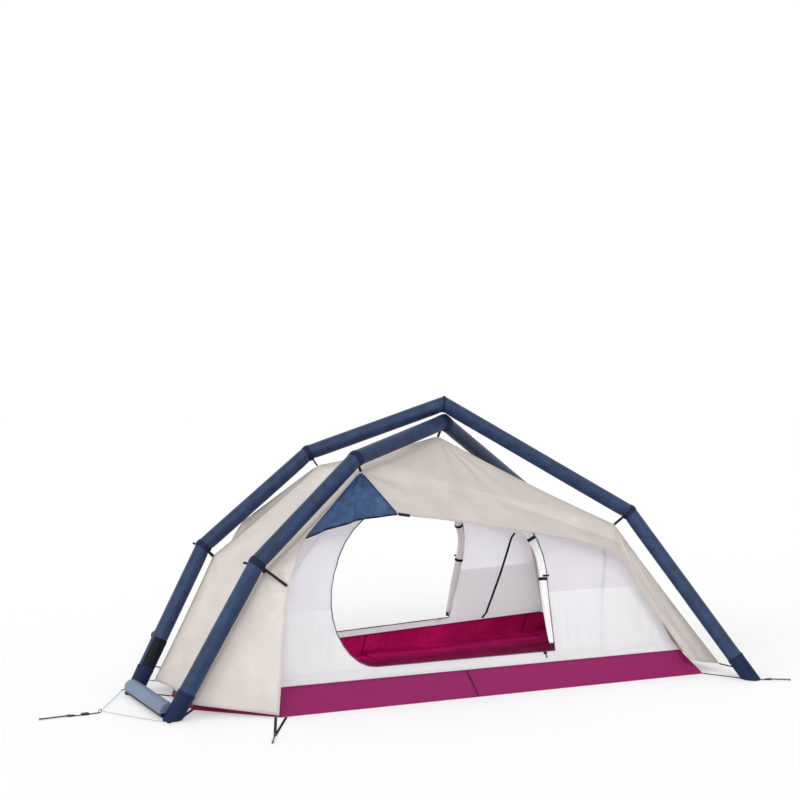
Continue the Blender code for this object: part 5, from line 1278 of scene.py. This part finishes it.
def tray_floor(perimeter):
    """Return the tray's floor, rows from a middle line out to the perimeter, laid in low waves and in long
    ridges, max(0, sin)^2, that both fade towards the walls."""
    spine = perimeter * at(1, 0, 1)
    spine[:, 0] = np.clip(spine[:, 0], -1.05, 0.55)
    ground = spine + (perimeter - spine) * spread(34, 0.3)[:, None, None]
    x, y = ground[..., 0], ground[..., 1]
    fade = 1 - np.exp(-(np.linalg.norm(ground - perimeter, axis=-1) / 0.06) ** 2)
    relief = np.maximum(waves(x, y, 21.0, (0.42, 0.23, 0.12, 0.07)), 0)
    ridges = np.maximum(np.sin((y + 0.03 * np.sin(x * 5)) * 2 * math.pi / 0.085), 0)
    ridges = ridges ** 2 * (0.5 + 0.5 * waves(x, y, 27.0, (0.9, 0.5)))
    ground[..., 2] = 0.0004 + (0.0060 * relief + 0.0065 * ridges) * fade
    return ground


def make_tray():
    """Make the groundsheet tray: its floor, its walls, bulged by sin(pi t) up to the rim, and the binding."""
    perimeter, top = tray_line(FLOOR), tray_line(RIM)
    up = spread(22, 0.3)[1:, None, None]
    run = run_along(perimeter)
    corner = np.min([np.linalg.norm(perimeter - place, axis=1) for place in all_round(FLOOR)], axis=0)
    ease = 1 - np.exp(-(corner / 0.05) ** 2)
    slack = 0.0030 + 0.0022 * waves(run, 0 * run, 23.0, (0.33, 0.15, 0.08))
    bulge = np.sin(math.pi * up[..., 0]) * slack * ease
    outward = unit(grounded(perimeter - top))
    walls = perimeter + (top - perimeter) * up + outward * bulge[..., None] + UP * 0.0004 * (1 - up)
    points = np.concatenate([tray_floor(perimeter), walls])
    tray = surface("groundsheet_tray_cloth", points, [finish_of("tray"), finish_of("tray_inside")],
                   wrap=True, uv=cloth_map(points[..., 0], points[..., 1] + points[..., 2]),
                   edge=grid_run(points)[3], away=at(0, 0, 0.6), thickness=CLOTH, sharp=30)
    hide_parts("groundsheet_tray")
    closed_binding("groundsheet_rim_binding", top - UP * 0.0027, UP, 0.0016, 0.0035, finish_of("tray"),
                   sides=10, edge=PLAIN_EDGE)


def roll_route():
    """Return a rolled door's middle line in side view and its radii, bottom first."""
    edge = door_outline()[:8]
    run = run_along(edge)
    distance = np.linspace(0.030, run[-1], len(ROLL_RADIUS_SHARES))
    span = np.clip(np.searchsorted(run, distance) - 1, 0, len(edge) - 2)
    local = ((distance - run[span]) / (run[span + 1] - run[span]))[:, None]
    place = edge[span] + (edge[span + 1] - edge[span]) * local
    way = unit(edge[span + 1] - edge[span])
    radii = ROLL_RADIUS * np.array(ROLL_RADIUS_SHARES)
    offset = (radii + 0.002)[:, None]
    return place + np.stack([-way[:, 1], way[:, 0]], -1) * offset, radii


def make_tray_seam(side, name):
    """Make the taped seam that runs down a long side of the tray, bulged by sin(pi t) as its wall is."""
    top = RIM[1] + (RIM[2] - RIM[1]) * TRAY_SEAM_SHARE
    foot = FLOOR[1] + (FLOOR[2] - FLOOR[1]) * TRAY_SEAM_SHARE
    share = np.linspace(0.03, 0.97, 24)[:, None]
    outward = mirrored(unit(at(-0.05, 1.0, 0.55)), side)
    path = mirrored(top + (foot - top) * share, side) + outward * (0.0012 + 0.0044 * np.sin(math.pi * share))
    strap(f"groundsheet_seam_{name}", path, outward, 0.007, TAPE_THICKNESS, finish_of("tray_tape"))


def make_rolled_door(side, name):
    """Make a rolled door: a bunched roll, R (1 - d (1 + cos(n a + twist)) / 2) round a smooth line,
    drawn in by its tie, with its two ties and its tag."""
    rows = 150
    middle, radii = roll_route()
    places = wall_at(middle[:, 0], middle[:, 1], side)
    line = smooth_line(np.hstack([places, radii[:, None]]), rows)
    path, radius = line[:, :3], line[:, 3]
    along = unit(np.gradient(path, axis=0))
    outward = square_to(along, at(0, side, 0))
    across = np.cross(along, outward)
    angle = round_angles(56)[None]
    share = np.linspace(0, 1, rows)[:, None]
    from_tie = np.abs(share - TIE_SHARE)
    depth = 0.07 + 0.15 * smooth_step(from_tie / 0.12)
    twist = 2.4 * np.sin(share * 7) + share * 5
    folds = depth * (0.5 + 0.5 * np.cos(7 * angle + twist))
    folds = folds + 0.5 * depth * (0.5 + 0.5 * np.cos(3 * angle - twist))
    size = radius[:, None] * (1 - folds) * (1 - 0.03 * np.exp(-(from_tie / 0.03) ** 2))
    ends = np.clip(np.minimum(share, 1 - share) / 0.025, 0, 1)
    size = size * np.sqrt(1 - (1 - ends) ** 2 * 0.75)
    points = (path[:, None] + across[:, None] * (size * np.cos(angle))[..., None]
              + outward[:, None] * (size * np.sin(angle))[..., None])
    roll = surface(f"rolled_door_{name}_cloth", points, finish_of("roll"), wrap=True, caps=(True, True),
                   edge=PLAIN_EDGE, sharp=80)
    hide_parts(f"rolled_door_{name}")
    for number, tie_share in enumerate((TIE_SHARE, SECOND_TIE_SHARE)):
        spot = int(tie_share * (rows - 1))
        core = radius[spot]
        profile = [(core * 0.96, -0.006), (core + 0.0006, -0.007), (core + 0.0012, -0.0064),
                   (core + 0.0012, 0.0064), (core + 0.0006, 0.007), (core * 0.96, 0.006)]
        turned(f"rolled_door_{name}_tie_{number + 1}", path[spot], along[spot], profile,
               finish_of("webbing"), ring=True, sides=64)
    tag = path[0] + outward[0] * 0.004
    strap(f"rolled_door_{name}_tag", straight(tag + UP * 0.004, tag - UP * 0.022), outward[0], 0.016, 0.003,
          finish_of("webbing"))


def make_inner_strap(side, name):
    """Make the strap inside a long wall, carried down the wall's patch and set off from it."""
    x, z = straight(at(0.650, 0.580), at(0.542, 0.118), 60).T
    inward = at(0, -side, 0)
    piece = strap(f"inner_strap_{name}_webbing", wall_at(x, z, side) + inward * 0.0035, inward, 0.013,
                  TAPE_THICKNESS, finish_of("webbing"))
    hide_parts(f"inner_strap_{name}")


def drawn_in(line, stations, spokes):
    """Return how far an arch's cloth is drawn in at its bends: creases on the inside of each bend,
    d cos^1.5(a) (0.55 + 0.45 cos(2 pi s / l)) exp(-(s / w)^2), a pinch under its band and gathers."""
    sizes, _ = settings()
    drawn = np.zeros(spokes.shape[:2])
    for number in range(1, len(line.points) - 1):
        cosine = spokes @ unit(line.ways[number] - line.ways[number - 1])
        away = (stations - line.lengths[number])[:, None]
        pleats = (0.55 + 0.45 * np.cos(away * 2 * math.pi / 0.021)) * np.exp(-(away / 0.042) ** 2)
        gathers = 0.5 + 0.5 * np.cos(np.arccos(np.clip(cosine, -1, 1)) * 11 + number)
        drawn += sizes.crease_depth * np.clip(cosine, 0, 1) ** 1.5 * pleats
        drawn += 0.0007 * np.exp(-(away / 0.016) ** 2)
        drawn += 0.0006 * np.exp(-(np.abs(away) / 0.05) ** 1.5) * gathers
    return drawn


def make_arch(letter):
    """Make one arch as a single skin: a round tube drawn in at its bends, with rounded ends on the ground
    and one stitched seam along it, sunk by exp(-(distance / w)^2)."""
    line = TubeLine(arch_points(letter), UP, -UP)
    start = SOLE / line.ways[0][2]
    end = line.lengths[-1] - SOLE / -line.ways[-1][2]
    rounding = 0.010
    curve = np.radians(np.linspace(0, 90, 8))[:-1]
    low = start + rounding * (1 - np.cos(curve))
    high = (end - rounding * (1 - np.cos(curve)))[::-1]
    cut = rounding * (1 - np.sin(curve))
    coarse = np.linspace(start + rounding, end - rounding, 260)
    fine = line.lengths[1:-1, None] + np.linspace(-0.075, 0.075, 91)[None]
    kept = np.abs(coarse[:, None] - line.lengths[None, 1:-1]).min(1) > 0.076
    middle = np.sort(np.concatenate([coarse[kept], fine.ravel()]))
    stations = np.concatenate([low, middle, high])
    trimmed = np.concatenate([cut, np.zeros(len(middle)), cut[::-1]])
    sides = 60
    turn = round_angles(sides)[None]
    _, _, _, spokes = line.rings(stations, sides)
    slack = 0.5 + 0.5 * waves(stations[:, None], turn * 0.12, 31.0, (0.40, 0.19, 0.10))
    from_seam = np.abs((turn - 4.0 + math.pi) % (2 * math.pi) - math.pi) * TUBE_RADIUS
    radii = TUBE_RADIUS - drawn_in(line, stations, spokes) - 0.0005 * slack
    radii = radii - 0.0006 * np.exp(-(from_seam / 0.003) ** 2) - trimmed[:, None]
    arch = surface(f"arch_{letter}_cloth", line.skin(stations, radii, sides), finish_of("frame"), wrap=True,
                   caps=(True, True), uv=cloth_map(turn * TUBE_RADIUS, stations[:, None]), edge=from_seam,
                   sharp=70)
    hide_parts(*[f"arch_{letter}_sleeve_{number}" for number in range(1, 6)])


def make_bladder(letter):
    """Make the air bladder inside an arch: a round skin that narrows at each bend and at both ends."""
    line = TubeLine(arch_points(letter), UP, -UP)
    stations = np.linspace(0.020, line.lengths[-1] - 0.020, 420)
    away = np.abs(stations[:, None] - line.lengths[None, 1:-1]).min(1)
    from_end = np.minimum(stations - stations[0], stations[-1] - stations)
    radii = 0.0328 - 0.0062 * np.exp(-(away / 0.055) ** 2)
    radii = radii - 0.012 * np.clip(1 - from_end / 0.03, 0, 1) ** 2
    bladder = surface(f"arch_{letter}_bladder_film", line.skin(stations, radii, 32), finish_of("film"),
                      wrap=True, caps=(True, True))
    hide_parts(f"arch_{letter}_bladder")


def foot_tube_end(side, out):
    """Return where each line along the foot tube meets a boot: the first t at which the point p + d t is
    the boot's radius away from the leg's line, held inside the tube's length."""
    ground, way = boot_line("left", side)
    origin = at(-FOOT_TUBE_REACH, 0, TUBE_RADIUS) + out * TUBE_RADIUS - ground
    direction = at(0, side, 0)
    flat = direction - way * (direction @ way)
    offset = origin - way * (origin @ way)[:, None]
    a, b = flat @ flat, 2 * offset @ flat
    c = (offset ** 2).sum(1) - BOOT_SEAT ** 2
    root = b * b - 4 * a * c
    hit = np.where(root > 0, (-b - np.sqrt(np.maximum(root, 0))) / (2 * a), np.inf)
    return side * np.minimum(np.where(hit > 0, hit, np.inf), FOOT_TUBE_SPREAD - 0.0005)


def make_foot_tube():
    """Make the foot tube: a round skin whose ends follow the boots, with creases that fade from them."""
    turn = round_angles(60)
    out = np.stack([np.cos(turn), 0 * turn, np.sin(turn)], -1)
    near, far = foot_tube_end(-1, out), foot_tube_end(1, out)
    y = near + (far - near) * spread(110, 0.6)[:, None]
    from_end = np.minimum(np.abs(y - near), np.abs(far - y))
    radius = TUBE_RADIUS * (1 - 0.06 * np.exp(-(from_end / 0.012) ** 2))
    radius = radius - 0.0012 * np.exp(-(from_end / 0.05) ** 1.5) * (0.5 + 0.5 * np.cos(turn * 9 + y * 20))
    radius = radius - 0.0006 * (0.5 + 0.5 * waves(y, turn * 0.1, 41.0, (0.25, 0.12, 0.06)))
    points = at(-FOOT_TUBE_REACH, 0, TUBE_RADIUS) + out[None] * radius[..., None]
    points[..., 1] = y
    points[..., 2] = np.maximum(points[..., 2], 0.0003)
    tube = surface("foot_tube_cloth", points, finish_of("foot_tube"), wrap=True, caps=(True, True), sharp=70)
    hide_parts("foot_tube")


def boot_profile():
    """Return the stations and radii of a boot's outside, from the middle of its rounded sole up to the cuff,
    and then those of its inside, back down to the foot of the tube."""
    curve = np.radians(np.linspace(0, 90, 9))
    inner_curve = np.radians(np.linspace(0, 90, 8))[:7]
    rounding = 0.009
    outer_s = np.concatenate([[0.0, 0.0], rounding * (1 - np.cos(curve)),
                              np.linspace(rounding, BOOT_LENGTH - 0.0015, 46)[1:],
                              [BOOT_LENGTH, BOOT_LENGTH]])
    outer_r = np.concatenate([[0.010, 0.022], BOOT_OUTER - rounding * (1 - np.sin(curve)),
                              np.full(45, BOOT_OUTER), [BOOT_OUTER - 0.0004, BOOT_OUTER - 0.0010]])
    inner_s = np.append(np.linspace(BOOT_LENGTH - 0.001, 0.013, 12),
                        0.0022 + 0.0108 * (1 - np.sin(inner_curve)))
    inner_r = np.append(np.full(12, BOOT_INNER), BOOT_INNER - 0.0095 * (1 - np.cos(inner_curve)))
    return outer_s, outer_r, inner_s, inner_r


def make_boot(end, side, name):
    """Make a boot: a closed skin with a rounded sole, some slack, and a folded hem round the leg."""
    ground, way = boot_line(end, side)
    outer_s, outer_r, inner_s, inner_r = boot_profile()
    stations = np.append(outer_s, inner_s)
    sides = 56
    turn = round_angles(sides)[None]
    s = outer_s[:, None]
    hem = smooth_step((s - (BOOT_LENGTH - 0.016)) / 0.002) * 0.0007
    slack = 0.0011 * (0.5 + 0.5 * waves(s, turn * 0.06, 51.0, (0.09, 0.05, 0.03)))
    slack = slack * smooth_step(s / 0.02) * smooth_step((BOOT_LENGTH - 0.014 - s) / 0.02)
    radii = np.repeat(np.append(outer_r, inner_r)[:, None], sides, axis=1)
    radii[:len(outer_s)] += hem - slack
    line = TubeLine([ground, ground + way * (BOOT_LENGTH + 0.05)], UP, way, 0.07)
    points = line.skin(stations, radii, sides)
    points[..., 2] = np.maximum(points[..., 2], 0.0)
    boot = surface(f"boot_{end}_{name}_cloth", points, finish_of("boot"), wrap=True, caps=(True, True),
                   uv=cloth_map(turn * BOOT_OUTER, stations[:, None]),
                   edge=np.abs(BOOT_LENGTH - stations)[:, None], sharp=60)
    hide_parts(f"boot_{end}_{name}")


def make_boot_webbing(end, side, name):
    """Make a boot's side tape, its hooked tie to the fly's corner and its straps on the ground."""
    boot = f"boot_{end}_{name}"
    webbing = finish_of("webbing")
    ground, way = boot_line(end, side)
    facing = square_to(way, at(0.2, side, 0))
    tape = ground + way * np.linspace(0.012, 0.109, 24)[:, None] + facing * (BOOT_OUTER + 0.0003)
    strap(f"{boot}_side_tape", tape, facing, 0.012, TAPE_THICKNESS, finish_of("boot"))
    corner_name, height, tie_facing = TIE_PLACES[end]
    start = ground + way * height
    corner = mirrored(FLY[corner_name], side)
    pull = unit(corner - start)
    hook = corner - pull * 0.0045
    strap(f"{boot}_tie", straight(start + pull * 0.034, hook - pull * 0.002), tie_facing, 0.006,
          HANGER_THICKNESS, webbing)
    hook_bead(f"{boot}_hook", hook, pull, BOOT_HOOK)
    centre = grounded(ground) + STRAP_LIFT
    if end == "left":
        root = centre + at(0.032, 0, 0)
        corner = mirrored(FLOOR[0], side) + STRAP_LIFT
        strap(f"{boot}_corner_strap", straight(root, corner - unit(corner - root) * 0.0012), UP, STRAP_WIDTH,
              STRAP_THICKNESS, webbing)
        make_eyelet(name, side, centre)
    else:
        direction = unit(grounded(ground))
        ring_centre = grounded(ground) + direction * 0.085
        strap(f"{boot}_peg_strap", straight(centre + direction * 0.034, ring_centre + STRAP_LIFT, 14), UP,
              STRAP_WIDTH, STRAP_THICKNESS, webbing)
        peg_ring(f"{boot}_peg_ring", ring_centre + UP * RING_HEIGHT, direction, finish_of("metal"))


def make_eyelet(name, side, centre):
    """Make the link from a left boot to the end of the guy line, with a tied loop at its end."""
    first, second = (mirrored(at(*GUY_ROUTE[number]), -side) for number in (0, 1))
    way = unit(first - second)
    turned(f"boot_left_{name}_eyelet", first + way * 0.0003, way, EYELET, finish_of("webbing"),
           caps=(True, True), sides=20)
    block_end = first + way * 0.0203
    link_end = grounded(centre) + UP * block_end[2]
    start = block_end - way * 0.0025
    strap(f"boot_left_{name}_link", straight(start, start + (link_end - start) * 0.45), UP, 0.0042, 0.0025,
          finish_of("webbing"))


def make_low_tab(node, side, bend):
    """Make the tab that stands off a low band: longer on the near side, where the photograph shows it."""
    way, reach = (unit(at(-0.877, 0.480, 0.0)), 0.020) if side < 0 else (unit(at(-0.80, 0.35, 0.25)), 0.012)
    root = bend + way * (BAND_OUTER + 0.0004)
    strap(f"{node}_tab", straight(root, root + way * reach + UP * 0.003), at(0.3, -0.9, 0.3), 0.011,
          HANGER_THICKNESS, finish_of("webbing"))


def make_hanger(node, part, side, bend, corner):
    """Make a hanger from a band towards a corner of the fly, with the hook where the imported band's is."""
    pull = unit(corner - bend)
    hook = tip(node, pull) - pull * HOOK_RADIUS
    hook = bend + pull * ((hook - bend) @ pull)
    strap(f"{node}_{part}", straight(bend + pull * HANGER_START, hook), at(0.5, -0.87 * side, 0.0), 0.012,
          HANGER_THICKNESS, finish_of("webbing"))
    hook_bead(f"{node}_{part}_hook", hook, pull, BAND_HOOK)


def make_band(kind, side, name):
    """Make the band round a bend, a closed ring with rounded lips, and the hangers that hang from it."""
    letter = "a" if (side > 0) != (kind == "right") else "b"
    number = {"low": 1, "high": 2, "crossing": 3, "right": 4}[kind]
    reach = 0.029 if kind == "crossing" else 0.013
    leg = reach + 0.02
    bend, line = bend_line(letter, number, leg, reach + 0.015)
    across = np.linspace(-reach + 0.0006, reach - 0.0006, 15)
    stations = leg + np.concatenate([[-reach], across, [reach], across[::-1]])
    lip = WRAP_RADIUS + 0.0006
    radii = np.concatenate([[lip], np.full(15, BAND_OUTER), [lip], np.full(15, WRAP_RADIUS)])
    sides = 56
    uv = cloth_map(stations[:, None], round_angles(sides)[None] * BAND_OUTER)
    node = "band_crossing" if kind == "crossing" else f"band_{kind}_{name}"
    band = surface(f"{node}_webbing", line.skin(stations, radii, sides), finish_of("band"), wrap=True,
                   ring=True, uv=uv)
    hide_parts(node)
    if kind == "crossing":
        make_hanger(node, "hanger", side, bend, FLY["ridge"] * at(1, 0, 1))
        return
    if kind == "low":
        make_low_tab(node, side, bend)
    make_hanger(node, "hanger", side, bend, mirrored(FLY[kind], side))
    if kind == "low":
        make_hanger(node, "waist_strap", side, bend, mirrored(FLY["waist"], side))


def make_crest_seam():
    """Make the sewn ring round the crest of the upper arch, where its two middle sleeves meet."""
    leg = 0.03
    _, line = bend_line("a", 3, leg, 0.028)
    stations = leg + 0.006 * at(-1, -0.7, 0, 0.7, 1, 0.7, 0, -0.7)
    radii = at(0.0353, 0.0362, 0.0364, 0.0362, 0.0353, 0.0346, 0.0346, 0.0346)
    surface("arch_a_crest_seam", line.skin(stations, radii, 56), finish_of("band"), wrap=True, ring=True)


def make_ground_webbing(side, name):
    """Make the strap from the tray's wide corner to the right boot, and the side peg's loop and ring."""
    webbing = finish_of("webbing")
    corner = mirrored(FLOOR[2], side)
    ground, _ = boot_line("right", side)
    way = unit(grounded(ground - corner))
    path = straight(corner + way * 0.001 + STRAP_LIFT, grounded(ground) - way * 0.040 + STRAP_LIFT, 20)
    piece = strap(f"corner_strap_{name}_webbing", path, UP, STRAP_WIDTH, STRAP_THICKNESS, webbing)
    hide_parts(f"corner_strap_{name}")
    shoulder = mirrored(FLOOR[1], side)
    ring = mirrored(LOOP_RING, side)
    away = unit(grounded(ring - shoulder))
    end = grounded(ring) + STRAP_LIFT
    for number, place in enumerate((FLOOR[0], FLOOR[2])):
        foot = shoulder + unit(mirrored(place, side) - shoulder) * 0.023 + away * 0.010 + STRAP_LIFT
        path = straight(foot, end + away * 0.006, 30) + UP * 0.0002 * number
        strap(f"peg_loop_{name}_leg_{number + 1}", path, UP, 0.011, STRAP_THICKNESS, webbing)
    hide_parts(f"peg_loop_{name}")
    peg_ring(f"peg_loop_{name}_ring", ring, away, finish_of("metal"))


def make_guy_cord():
    """Make the guy cord on a smooth curve from boot to boot."""
    last = len(GUY_ROUTE) - 1
    route = curve_row(GUY_ROUTE, np.linspace(0, last, last * 9 + 1))
    curve = bpy.data.curves.new("guy_cord_braid", 'CURVE')
    curve.dimensions = '3D'
    curve.bevel_depth = 0.00125
    curve.bevel_resolution = 3
    curve.use_fill_caps = True
    spline = curve.splines.new('POLY')
    spline.points.add(len(route) - 1)
    spline.points.foreach_set("co", np.hstack([route, np.ones((len(route), 1))]).ravel())
    curve.materials.append(finish_of("cord").material)
    cord = bpy.data.objects.new("guy_cord_braid", curve)
    bpy.context.scene.collection.objects.link(cord)
    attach(cord, "tent")
    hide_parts("guy_cord")


def make_guy_strap():
    """Make the ground strap of the guy line with its wire eye and its peg ring."""
    path = straight(at(-1.669, 0, 0) + STRAP_LIFT, at(GUY_PEG, 0, 0) + STRAP_LIFT, 30)
    piece = strap("guy_strap_webbing", path, UP, STRAP_WIDTH, STRAP_THICKNESS, finish_of("webbing"))
    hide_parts("guy_strap")
    link_ring("guy_strap_eye", at(-1.665, 0, 0.0079), at(0, 1, 0), 0.0065, 0.0014, finish_of("metal"))
    peg_ring("guy_strap_peg_ring", at(GUY_PEG, 0, RING_HEIGHT), at(-1, 0, 0), finish_of("metal"))


def make_leg_flap():
    """Make the dark cover on the right half of the far left leg, above its boot."""
    ground, way = boot_line("left", 1)
    facing = square_to(way, at(0.16, -0.99, 0.0))
    other = np.cross(way, facing)
    s, a = np.meshgrid(np.linspace(0.1275, 0.262, 60), np.radians(np.linspace(-66, 66, 34)), indexing='ij')
    out = facing * np.cos(a)[..., None] + other * np.sin(a)[..., None]
    points = ground + way * s[..., None] + out * (TUBE_RADIUS + 0.0006)
    edge = np.minimum.reduce(grid_run(points))
    points = points + out * (0.0006 * smooth_step((0.008 - edge) / 0.002))[..., None]
    surface("leg_flap_far", points, finish_of("flap"), edge=edge, away=ground + way * 0.2, thickness=CLOTH)


def dress_node(node, finish_name):
    """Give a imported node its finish."""
    obj = frame["nodes"][node]
    obj.data.materials.clear()
    obj.data.materials.append(finish_of(finish_name).material)


def make_camera():
    """Place the camera that the photograph was taken with."""
    camera = bpy.data.objects.new("camera", bpy.data.cameras.new("camera"))
    camera.data.sensor_width = 36.0
    camera.data.lens = CAMERA_LENS
    camera.data.clip_end = 200.0
    camera.location = CAMERA_PLACE
    camera.rotation_euler = (math.pi / 2 + math.radians(CAMERA_PITCH), 0.0, -math.radians(CAMERA_YAW))
    bpy.context.scene.collection.objects.link(camera)
    bpy.context.scene.camera = camera


def make_world():
    """Make the white background, which lights the object less than its own white shows."""
    world = bpy.data.worlds.new("studio")
    world.use_nodes = True
    bpy.context.scene.world = world
    tree = world.node_tree
    seen = add_node(tree, "ShaderNodeLightPath", output="Is Camera Ray")
    for ray in ("Is Glossy Ray", "Is Transmission Ray"):
        seen = seen.maths('MAXIMUM', seen, add_node(tree, "ShaderNodeLightPath", output=ray))
    strength = seen * (1 - WORLD_LIGHT) + WORLD_LIGHT
    background = tree.nodes["Background"]
    background.inputs["Color"].default_value = (1.0, 1.0, 1.0, 1.0)
    tree.links.new(strength.output, background.inputs["Strength"])


def make_floor():
    """Make the pale floor, which keeps the object's shadow and glows a little for the camera alone."""
    corners = np.array([(-1, -1, 0), (1, -1, 0), (1, 1, 0), (-1, 1, 0)]) * STUDIO_REACH - UP * CLOTH / 2
    mesh = bpy.data.meshes.new("floor")
    mesh.from_pydata(corners.tolist(), [], [(0, 1, 2, 3)])
    floor = bpy.data.objects.new("floor", mesh)
    bpy.context.scene.collection.objects.link(floor)
    finish = Finish("floor_paper", (0.97, 0.97, 0.97), 0.9)
    finish.hold(Specular_IOR_Level=0.0)
    seen = finish.node("ShaderNodeLightPath", output="Is Camera Ray")
    glow = finish.node("ShaderNodeEmission", None, {"Strength": FLOOR_GLOW})
    finish.blend(seen * FLOOR_GLOW_SHARE, glow)
    mesh.materials.append(finish.material)


def make_stage():
    """Make the background, the pale floor and the two soft suns, each turned along its direction."""
    scene = bpy.context.scene
    scene.view_settings.view_transform = 'Standard'
    make_world()
    make_floor()
    for name, direction, strength, angle in SUNS:
        sun = bpy.data.objects.new(name, bpy.data.lights.new(name, 'SUN'))
        sun.data.energy = strength
        sun.data.angle = math.radians(angle)
        way = unit(direction)
        sun.rotation_euler = (math.acos(-way[2]), 0.0, math.atan2(way[1], way[0]) - math.pi / 2)
        scene.collection.objects.link(sun)


class TENT_OT_stage(bpy.types.Operator):
    """Make the camera, the light and the floor"""
    bl_idname = "tent.stage"
    bl_label = "Stage and Camera"

    def execute(self, context):
        make_camera()
        make_stage()
        return {'FINISHED'}


class TENT_OT_guy_line(bpy.types.Operator):
    """Make the guy cord and its ground strap"""
    bl_idname = "tent.guy_line"
    bl_label = "Guy Line"

    def execute(self, context):
        make_guy_cord()
        make_guy_strap()
        return {'FINISHED'}


class TENT_OT_arches(bpy.types.Operator):
    """Make the cloth of both air arches and the foot tube"""
    bl_idname = "tent.arches"
    bl_label = "Air Arches"

    def execute(self, context):
        for letter in "ab":
            make_arch(letter)
            make_bladder(letter)
        make_foot_tube()
        make_leg_flap()
        return {'FINISHED'}


class TENT_OT_boots(bpy.types.Operator):
    """Make the four boots with their webbing"""
    bl_idname = "tent.boots"
    bl_label = "Boots"

    def execute(self, context):
        for side, name in SIDES:
            for end in ("left", "right"):
                make_boot(end, side, name)
                make_boot_webbing(end, side, name)
        return {'FINISHED'}


class TENT_OT_bands(bpy.types.Operator):
    """Make the bands at the bends and the hangers"""
    bl_idname = "tent.bands"
    bl_label = "Bands and Hangers"

    def execute(self, context):
        make_band("crossing", -1, "near")
        make_crest_seam()
        for side, name in SIDES:
            for kind in ("low", "high", "right"):
                make_band(kind, side, name)
        return {'FINISHED'}


class TENT_OT_fly(bpy.types.Operator):
    """Make the panels of the fly and their seams"""
    bl_idname = "tent.fly"
    bl_label = "Fly"

    def execute(self, context):
        make_fly_ends()
        for side, name in SIDES:
            make_awning(side, name)
            make_fly_side(side, name)
            make_fly_vent(side, name)
            make_seam_tapes(side, name)
        return {'FINISHED'}


class TENT_OT_inner(bpy.types.Operator):
    """Make the groundsheet tray and the inner tent with its doors"""
    bl_idname = "tent.inner"
    bl_label = "Inner Tent"

    def execute(self, context):
        make_tray()
        make_inner_ends()
        for side, name in SIDES:
            make_inner_wall(side, name)
            make_door_zip(side, name)
            make_rolled_door(side, name)
            make_inner_strap(side, name)
            make_tray_seam(side, name)
        return {'FINISHED'}


class TENT_OT_webbing(bpy.types.Operator):
    """Make the webbing on the ground"""
    bl_idname = "tent.webbing"
    bl_label = "Ground Webbing"

    def execute(self, context):
        for side, name in SIDES:
            make_ground_webbing(side, name)
        return {'FINISHED'}


class TENT_OT_fittings(bpy.types.Operator):
    """Give the valve, toggles, sliders, tensioner and pegs their finishes"""
    bl_idname = "tent.fittings"
    bl_label = "Fittings"

    def execute(self, context):
        for node in ("valve_body", "valve_cap", "guy_tensioner", "door_toggle_near", "door_toggle_far",
                     "zip_slider_near", "zip_slider_far"):
            dress_node(node, "plastic")
        for node in ("peg_near", "peg_far", "peg_right_near", "peg_right_far", "peg_guy"):
            dress_node(node, "metal")
        return {'FINISHED'}


STEPS = (TENT_OT_stage, TENT_OT_guy_line, TENT_OT_arches, TENT_OT_boots, TENT_OT_bands, TENT_OT_fly,
         TENT_OT_inner, TENT_OT_webbing, TENT_OT_fittings)


class TENT_PT_panel(bpy.types.Panel):
    """Sizes, colours and the steps that build the tent"""
    bl_idname = "TENT_PT_panel"
    bl_label = "Tent"
    bl_space_type = 'VIEW_3D'
    bl_region_type = 'UI'
    bl_category = "Tent"

    def draw(self, context):
        layout = self.layout
        for group in (context.scene.tent_sizes, context.scene.tent_colours):
            for name in group.__annotations__:
                layout.prop(group, name)
        for step in STEPS:
            layout.operator(step.bl_idname)


CLASSES = (TentSizes, TentColours) + STEPS + (TENT_PT_panel,)


def register():
    for made in CLASSES:
        bpy.utils.register_class(made)
    bpy.types.Scene.tent_sizes = bpy.props.PointerProperty(type=TentSizes)
    bpy.types.Scene.tent_colours = bpy.props.PointerProperty(type=TentColours)


def unregister():
    del bpy.types.Scene.tent_colours
    del bpy.types.Scene.tent_sizes
    for made in reversed(CLASSES):
        bpy.utils.unregister_class(made)


def main():
    """Register the tent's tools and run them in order."""
    register()
    bpy.ops.tent.stage()
    bpy.ops.tent.guy_line()
    bpy.ops.tent.arches()
    bpy.ops.tent.boots()
    bpy.ops.tent.bands()
    bpy.ops.tent.fly()
    bpy.ops.tent.inner()
    bpy.ops.tent.webbing()
    bpy.ops.tent.fittings()


if __name__ == "__main__":
    main()
